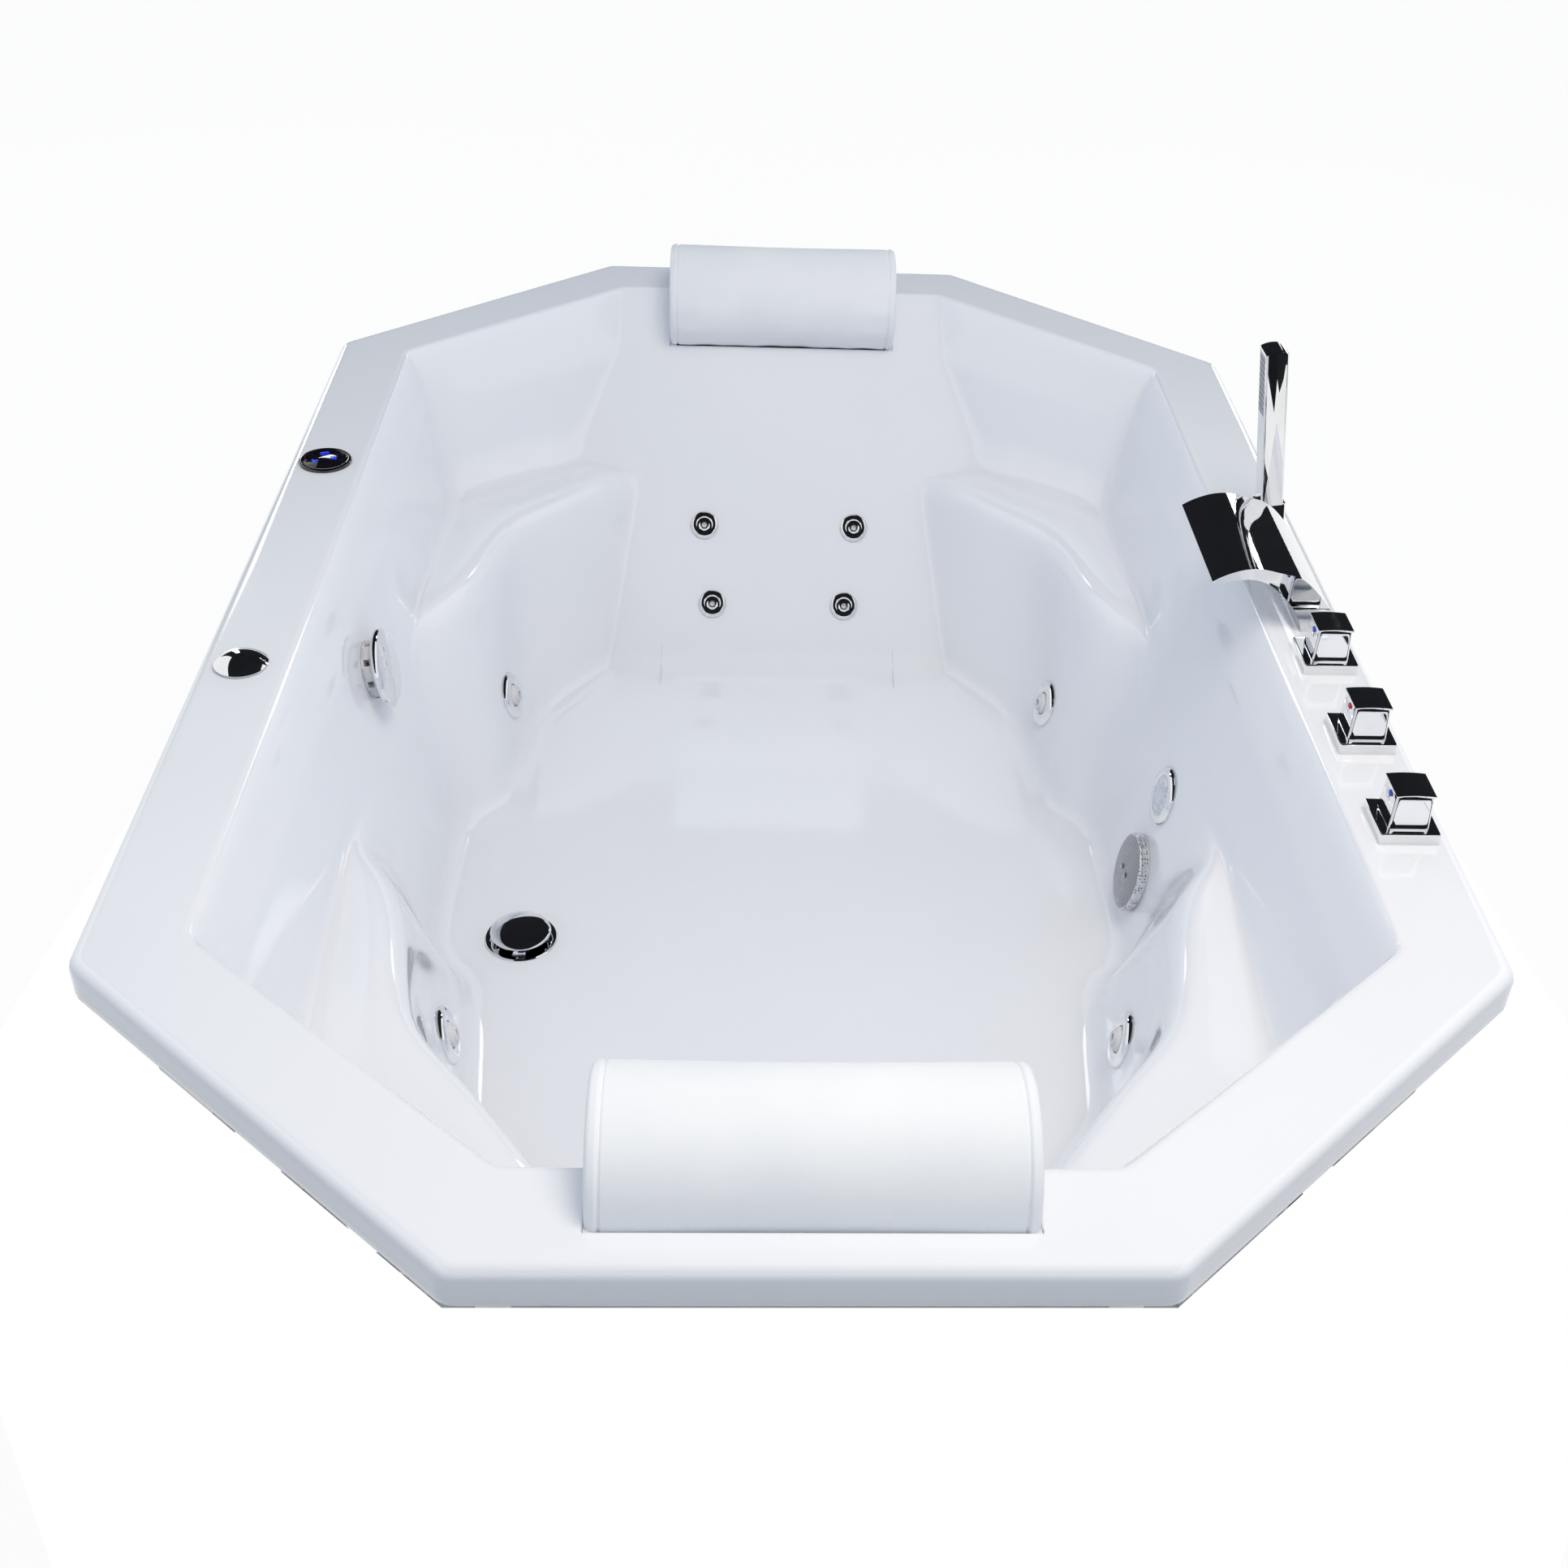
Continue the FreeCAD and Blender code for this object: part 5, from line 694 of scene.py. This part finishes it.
def marked_handle(name, y, dot):
    """A tap handle whose small round marker, in the side facing the tub, has its own colour."""
    obj = smooth_copy("handle_" + name, CHROME, name + "_handle")
    mesh = obj.data
    mesh.materials.append(dot)
    points = np.empty(len(mesh.vertices) * 3)
    mesh.vertices.foreach_get("co", points)
    off = np.abs(points.reshape(-1, 3) - (MARKER_X, y, MARKER_Z))
    inside = (off < MARKER_REACH).all(1)
    index = [int(inside[list(face.vertices)].all()) for face in mesh.polygons]
    mesh.polygons.foreach_set("material_index", index)


marked_handle("cold", -0.432, DOT_BLUE)
marked_handle("hot", -0.288, DOT_RED)
marked_handle("diverter", -0.144, DOT_BLUE)


# ---------------------------------------------------------------- turned fittings
def cap_dome():
    """The drain cap: a low dome over a thin rolled edge, and its stem, turned about its axis."""
    profile = [(0, 129.3), (3.9, 129.3), (4, 129.5), (4, 163.3)]
    profile += [(34.6, 163.3), (35.7, 163.9), (36, 164.8), (35.6, 165.8)]
    dome_r, dome_foot, dome_rise = 35.2, 166.0, 4.3
    quarter = np.linspace(0.12, 1, 14) * math.pi / 2
    profile += [(dome_r * math.cos(a), dome_foot + dome_rise * math.sin(a)) for a in quarter]
    points, faces = lathe(np.array(profile) * MM)
    return points + (DRAIN_X, DRAIN_Y, 0), faces


cap = add_mesh("drain_cap_dome", *cap_dome(), CHROME, "drain_cap")
sharpen(cap, 40.0)
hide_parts("drain_cap")

SUCTION_SEAT = seat_matrix(SUCTION_PLACE, SUCTION_FACING)
FRONT_COSINE = 0.88                           # faces that look out of the wall more than this are front


def grating():
    """The suction cover: a shallow dished disc with a rounded edge, hollow behind."""
    r, rise = SUCTION_R, FLANGE + 13.0
    behind = [(0, rise - 3), (r - 12, rise - 4.5), (r - 4, rise - 8), (r - 4, FLANGE), (r, FLANGE)]
    edge = [(r, rise - 7), (r - 0.3, rise - 5.7), (r - 1.2, rise - 4.4), (r - 3, rise - 3.4)]
    profile = behind + edge + [(r - 3.8, rise - 3.0), (r - 11, rise - 1), (0, rise)]
    points, faces = lathe(np.array(profile) * MM)
    return moved(points, SUCTION_SEAT), faces


cover = add_mesh("suction_cover_grating", *grating(), RIBBED)
sharpen(cover, 30.0)
cover.data.materials.append(PERFORATED)
normals = np.empty(len(cover.data.polygons) * 3)
cover.data.polygons.foreach_get("normal", normals)
front = normals.reshape(-1, 3) @ SUCTION_SEAT[:3, 2] > FRONT_COSINE
cover.data.polygons.foreach_set("material_index", np.where(front, 0, 1).tolist())
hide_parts("suction_cover")


def panel_light(radius, petals, depth, turn, segments, hole=0.0, squash=1.0):
    """A small flat light on the panel: a circle whose radius swells by depth in a cosine of petals,
    turned and squashed, and open in the middle up to a share of its size."""
    a = np.linspace(0, 2 * np.pi, segments, endpoint=False)
    r = radius * (1 + depth * np.cos(petals * a))
    ring = np.stack([np.cos(a) * r, np.sin(a) * r * squash], -1)
    c, s = math.cos(turn), math.sin(turn)
    ring = ring @ np.array([[c, s], [-s, c]])
    rows = [(hole, PANEL_TOP), (1, PANEL_TOP), (1, LIGHT_TOP), (hole, LIGHT_TOP)]
    rows += [(hole, PANEL_TOP)] if hole else []
    return stacked(ring, rows), grid_faces(len(rows), segments)


lights = [(panel_light(0.0032, 3, 0.45, 0.4, 36), (-0.5678, 0.2654)),
          (panel_light(0.0048, 4, 0.0, 0.9, 4, 0.62), (-0.5469, 0.275)),
          (panel_light(0.0046, 2, 0.2, 0.3, 30, 0.0, 0.32), (-0.5602, 0.2885))]
points, faces = several([(p + (x, y, 0), f) for (p, f), (x, y) in lights])
sharpen(add_mesh("panel_lights", points, faces, GLYPH_BLUE))


# ---------------------------------------------------------------- pillows
HEM_ROUND = 0.006                             # round of a pillow's end edge
SEAM_AT, WELT_AT = 0.0105, 0.0075             # groove and welt, from the end
SAG, END_DOME = 0.0012, 0.0016
SETTLE = 0.0008                               # the skin lies this far inside the CAD bolster


def pillow(side):
    """A round bolster: a constant radius with small round end edges, a sewn groove and a raised
    welt near each end, a slight sag between them, and soft creases low on the side that rests in
    the trough. Rows run along X, columns round the axis from the top."""
    a = np.linspace(0, 2 * np.pi, 176, endpoint=False)
    bend = np.radians(np.linspace(90, 0, 8))
    rounded = PILLOW_HALF - HEM_ROUND + HEM_ROUND * np.sin(bend)
    hem = np.linspace(PILLOW_HALF - HEM_ROUND - 0.0005, PILLOW_HALF - 0.022, 34)
    half = np.concatenate([rounded, hem, np.linspace(PILLOW_HALF - 0.024, 0, 46)])
    fall = np.concatenate([HEM_ROUND * (1 - np.cos(bend)), np.zeros(80)])
    x = np.concatenate([-half, half[-2::-1]])
    fall = np.concatenate([fall, fall[-2::-1]])
    d = PILLOW_HALF - np.abs(x)
    seam = -0.0016 * np.exp(-((d - SEAM_AT) / 0.0011) ** 2) + 0.0006 * np.exp(-((d - WELT_AT) / 0.0016) ** 2)
    sag = -SAG * np.cos(x / PILLOW_HALF * np.pi / 2) ** 2
    low = 0.5 - 0.5 * np.cos(a - 0.5 * side)
    near_hem = np.exp(-((d - 0.030) / 0.020) ** 2)
    along = x[:, None]
    waves = np.sin(along * 95 + 1.7 * np.sin(a * 2 + side) + side) * np.sin(along * 41 + a * 1.5 + 0.6)
    gathers = near_hem[:, None] * np.sin(a * 13 + 2.0 * side)
    crease = 0.0007 * waves * low[None, :] ** 2 + 0.0006 * gathers * low[None, :]
    keep = np.clip(d / 0.012, 0, 1)[:, None]
    radius = PILLOW_R - SETTLE - fall[:, None] + (seam + sag)[:, None] + crease * keep
    centre = np.array([0, side * PILLOW_Y, PILLOW_Z])
    points = np.stack([np.repeat(along, len(a), 1), centre[1] + radius * np.sin(a),
                       centre[2] + radius * np.cos(a)], -1)
    shares = np.array([0.0, 0.25, 0.5, 0.75, 0.93])[:, None, None]
    dent = END_DOME * (1 - shares ** 2) - END_DOME
    shrink = np.concatenate([np.ones_like(shares), shares, shares], 2)
    inwards = np.concatenate([dent, 0 * dent, 0 * dent], 2)
    first = centre + (points[0] - centre) * shrink - inwards
    second = centre + (points[-1] - centre) * shrink + inwards
    return np.concatenate([first, points, second[::-1]])


for name, side in (("pillow_near", -1), ("pillow_far", 1)):
    grid = pillow(side)
    obj = add_mesh(name, grid.reshape(-1, 3), grid_faces(*grid.shape[:2]), PILLOW_VINYL)
    sharpen(obj, 60.0)
    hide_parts("pillows")


# ---------------------------------------------------------------- studio
def stage_mesh(name, points, faces, material):
    """A flat piece of the studio that isn't part of the tub."""
    mesh = bpy.data.meshes.new(name)
    mesh.from_pydata(points, [], faces)
    mesh.materials.append(material)
    obj = bpy.data.objects.new(name, mesh)
    bpy.context.scene.collection.objects.link(obj)
    return obj


def seen_group():
    """1 where camera, mirror and glass rays meet a surface, 0 for the light that it passes on."""
    g = bpy.data.node_groups.new("seen_rays", "ShaderNodeTree")
    g.interface.new_socket("Mask", in_out="OUTPUT", socket_type="NodeSocketFloat")
    n, l = g.nodes, g.links
    path, gout = n.new("ShaderNodeLightPath"), n.new("NodeGroupOutput")
    two, three = n.new("ShaderNodeMath"), n.new("ShaderNodeMath")
    two.operation = three.operation = "MAXIMUM"
    l.new(path.outputs["Is Camera Ray"], two.inputs[0])
    l.new(path.outputs["Is Glossy Ray"], two.inputs[1])
    l.new(two.outputs[0], three.inputs[0])
    l.new(path.outputs["Is Transmission Ray"], three.inputs[1])
    l.new(three.outputs[0], gout.inputs["Mask"])
    return g


SEEN = seen_group()


def seen_white(name, colour, share):
    """A diffuse colour, mixed with plain white where camera, mirror and glass rays meet it."""
    m, n, l, p = new_material(name)
    p.inputs["Base Color"].default_value = (*colour, 1)
    p.inputs["Roughness"].default_value = 0.9
    seen, scale = n.new("ShaderNodeGroup"), n.new("ShaderNodeMath")
    mix, white = n.new("ShaderNodeMixShader"), n.new("ShaderNodeEmission")
    seen.node_tree = SEEN
    scale.operation = "MULTIPLY"
    scale.inputs[1].default_value = share
    l.new(seen.outputs["Mask"], scale.inputs[0])
    l.new(scale.outputs[0], mix.inputs["Fac"])
    l.new(p.outputs[0], mix.inputs[1])
    l.new(white.outputs[0], mix.inputs[2])
    l.new(mix.outputs[0], n["Material Output"].inputs["Surface"])
    return m


def lying(x0, x1, y0, y1, z):
    """Corners of a level sheet."""
    return [(x0, y0, z), (x1, y0, z), (x1, y1, z), (x0, y1, z)]


def upright(half, y, low, high):
    """Corners of an upright sheet across the view."""
    return [(-half, y, low), (half, y, low), (half, y, high), (-half, y, high)]


def both_sides(half):
    """A path from the left to the right, from its right half."""
    return [(-x, y) for x, y in half] + half[::-1]


FLOOR_HALF = 14.0
SHEET_Z = RIM - LIP_DROP - 0.0005             # the white sheet, just under the lip's lower edge
SHEET_END = -0.30                             # it runs this far along the tub's sides
FLOOR_WHITE = seen_white("studio_floor", (0.9, 0.9, 0.9), 0.94)
PANEL_WHITE = seen_white("deck_panel", (0.30, 0.31, 0.33), 1.0)
stage_mesh("floor", lying(-FLOOR_HALF, FLOOR_HALF, -FLOOR_HALF, FLOOR_HALF, 0), [(0, 1, 2, 3)], FLOOR_WHITE)
tub_side = both_sides([(HALF_W, SHEET_END), (HALF_W, -OUTER_CORNER_Y), (OUTER_CORNER_X, -HALF_L)])
far_side = both_sides([(0.61, SHEET_END), (0.66, -0.82), (0.36, -1.32)])
points = [(x, y, SHEET_Z) for x, y in tub_side + far_side]
stage_mesh("deck_panel", points, [(k, k + 6, k + 7, k + 1) for k in range(5)], PANEL_WHITE)


def studio_world():
    """A white surround that lights the tub less, and more bluely, than it looks."""
    world = bpy.data.worlds.new("studio")
    world.use_nodes = True
    n, l = world.node_tree.nodes, world.node_tree.links
    back, seen = n["Background"], n.new("ShaderNodeGroup")
    seen.node_tree = SEEN
    tint, strength = n.new("ShaderNodeMix"), n.new("ShaderNodeMapRange")
    tint.data_type = "RGBA"
    tint.inputs[6].default_value, tint.inputs[7].default_value = (0.79, 0.885, 1.0, 1), (1, 1, 1, 1)
    strength.inputs["To Min"].default_value, strength.inputs["To Max"].default_value = 0.62, 1.0
    l.new(seen.outputs["Mask"], strength.inputs["Value"])
    l.new(seen.outputs["Mask"], tint.inputs["Factor"])
    l.new(tint.outputs[2], back.inputs["Color"])
    l.new(strength.outputs["Result"], back.inputs["Strength"])
    return world


bpy.context.scene.world = studio_world()


def area(name, place, target, size, power, colour=(1, 1, 1)):
    """A rectangular light at a place, turned to a target."""
    light = bpy.data.lights.new(name, "AREA")
    light.shape = "RECTANGLE"
    light.size, light.size_y = size
    light.energy = power
    light.color = colour
    obj = bpy.data.objects.new(name, light)
    away = np.array(place, float) - np.array(target, float)
    obj.matrix_world = Matrix(seat_matrix(place, away, (0, 0.01, 1)).tolist())
    bpy.context.scene.collection.objects.link(obj)
    return obj


key = area("key", (0.45, -0.85, 2.65), (0.15, -0.6, 0.6), (1.3, 1.1), 31, (1.0, 0.88, 0.74))
key.visible_glossy = False
for name, x_sign in (("far_left_strip", -1), ("far_right_strip", 1)):
    area(name, (x_sign * 1.75, 3.1, 1.55), (x_sign * 0.2, 0.3, 0.4), (0.35, 1.5), 7)


def dark_card(name, corners):
    """A black studio card that only shows in gloss."""
    card = stage_mesh(name, corners, [(0, 1, 2, 3)], CARD_BLACK)
    card.visible_camera = card.visible_diffuse = card.visible_shadow = card.visible_transmission = False
    return card


CARD_BLACK, _, _, card_shader = new_material("studio_card")
card_shader.inputs["Base Color"].default_value = (0.01, 0.01, 0.012, 1)
card_shader.inputs["Roughness"].default_value = 1.0
CARD_HALF, CARD_FAR, CARD_NEAR, CARD_TOP = 3.2, 3.6, -5.5, 4.4
dark_card("far_card", upright(CARD_HALF, CARD_FAR, 0.75, CARD_TOP))
dark_card("ceiling_card", lying(-CARD_HALF, CARD_HALF, CARD_NEAR, CARD_FAR, CARD_TOP))
dark_card("near_card", upright(2.2, CARD_NEAR, 2.6, CARD_TOP))
dark_card("floor_card", lying(0.70, 2.4, -3.2, -1.335, 0.01))

# camera: azimuth, elevation and roll of the view, from the photograph's own perspective
AZIMUTH, ELEVATION, ROLL = (math.radians(a) for a in (3.35, 35.72, 2.73))
CAMERA_PLACE = (-0.060, -1.799, 1.628)
PHOTO_SIDE, FOCAL = 1932, 2312                # the photograph's side and focal length, in pixels
AXIS_X, AXIS_Y = 1015, 962                    # where the lens's axis meets it, in pixels
SENSOR = 36.0
level_look = np.array([math.sin(AZIMUTH), math.cos(AZIMUTH)]) * math.cos(ELEVATION)
look = np.append(level_look, -math.sin(ELEVATION))
right = unit(np.cross(look, (0, 0, 1)))
up = np.cross(right, look)
m = np.eye(4)
m[:3, 0] = math.cos(ROLL) * right + math.sin(ROLL) * up
m[:3, 1] = -math.sin(ROLL) * right + math.cos(ROLL) * up
m[:3, 2] = -look
m[:3, 3] = CAMERA_PLACE
camera = bpy.data.cameras.new("camera")
camera.sensor_width = SENSOR
camera.lens = SENSOR * FOCAL / PHOTO_SIDE
camera.shift_x = -(AXIS_X - PHOTO_SIDE / 2) / PHOTO_SIDE
camera.shift_y = (AXIS_Y - PHOTO_SIDE / 2) / PHOTO_SIDE
camera_object = bpy.data.objects.new("camera", camera)
camera_object.matrix_world = Matrix(m.tolist())
bpy.context.scene.collection.objects.link(camera_object)
bpy.context.scene.camera = camera_object
bpy.context.scene.view_settings.view_transform = "Standard"
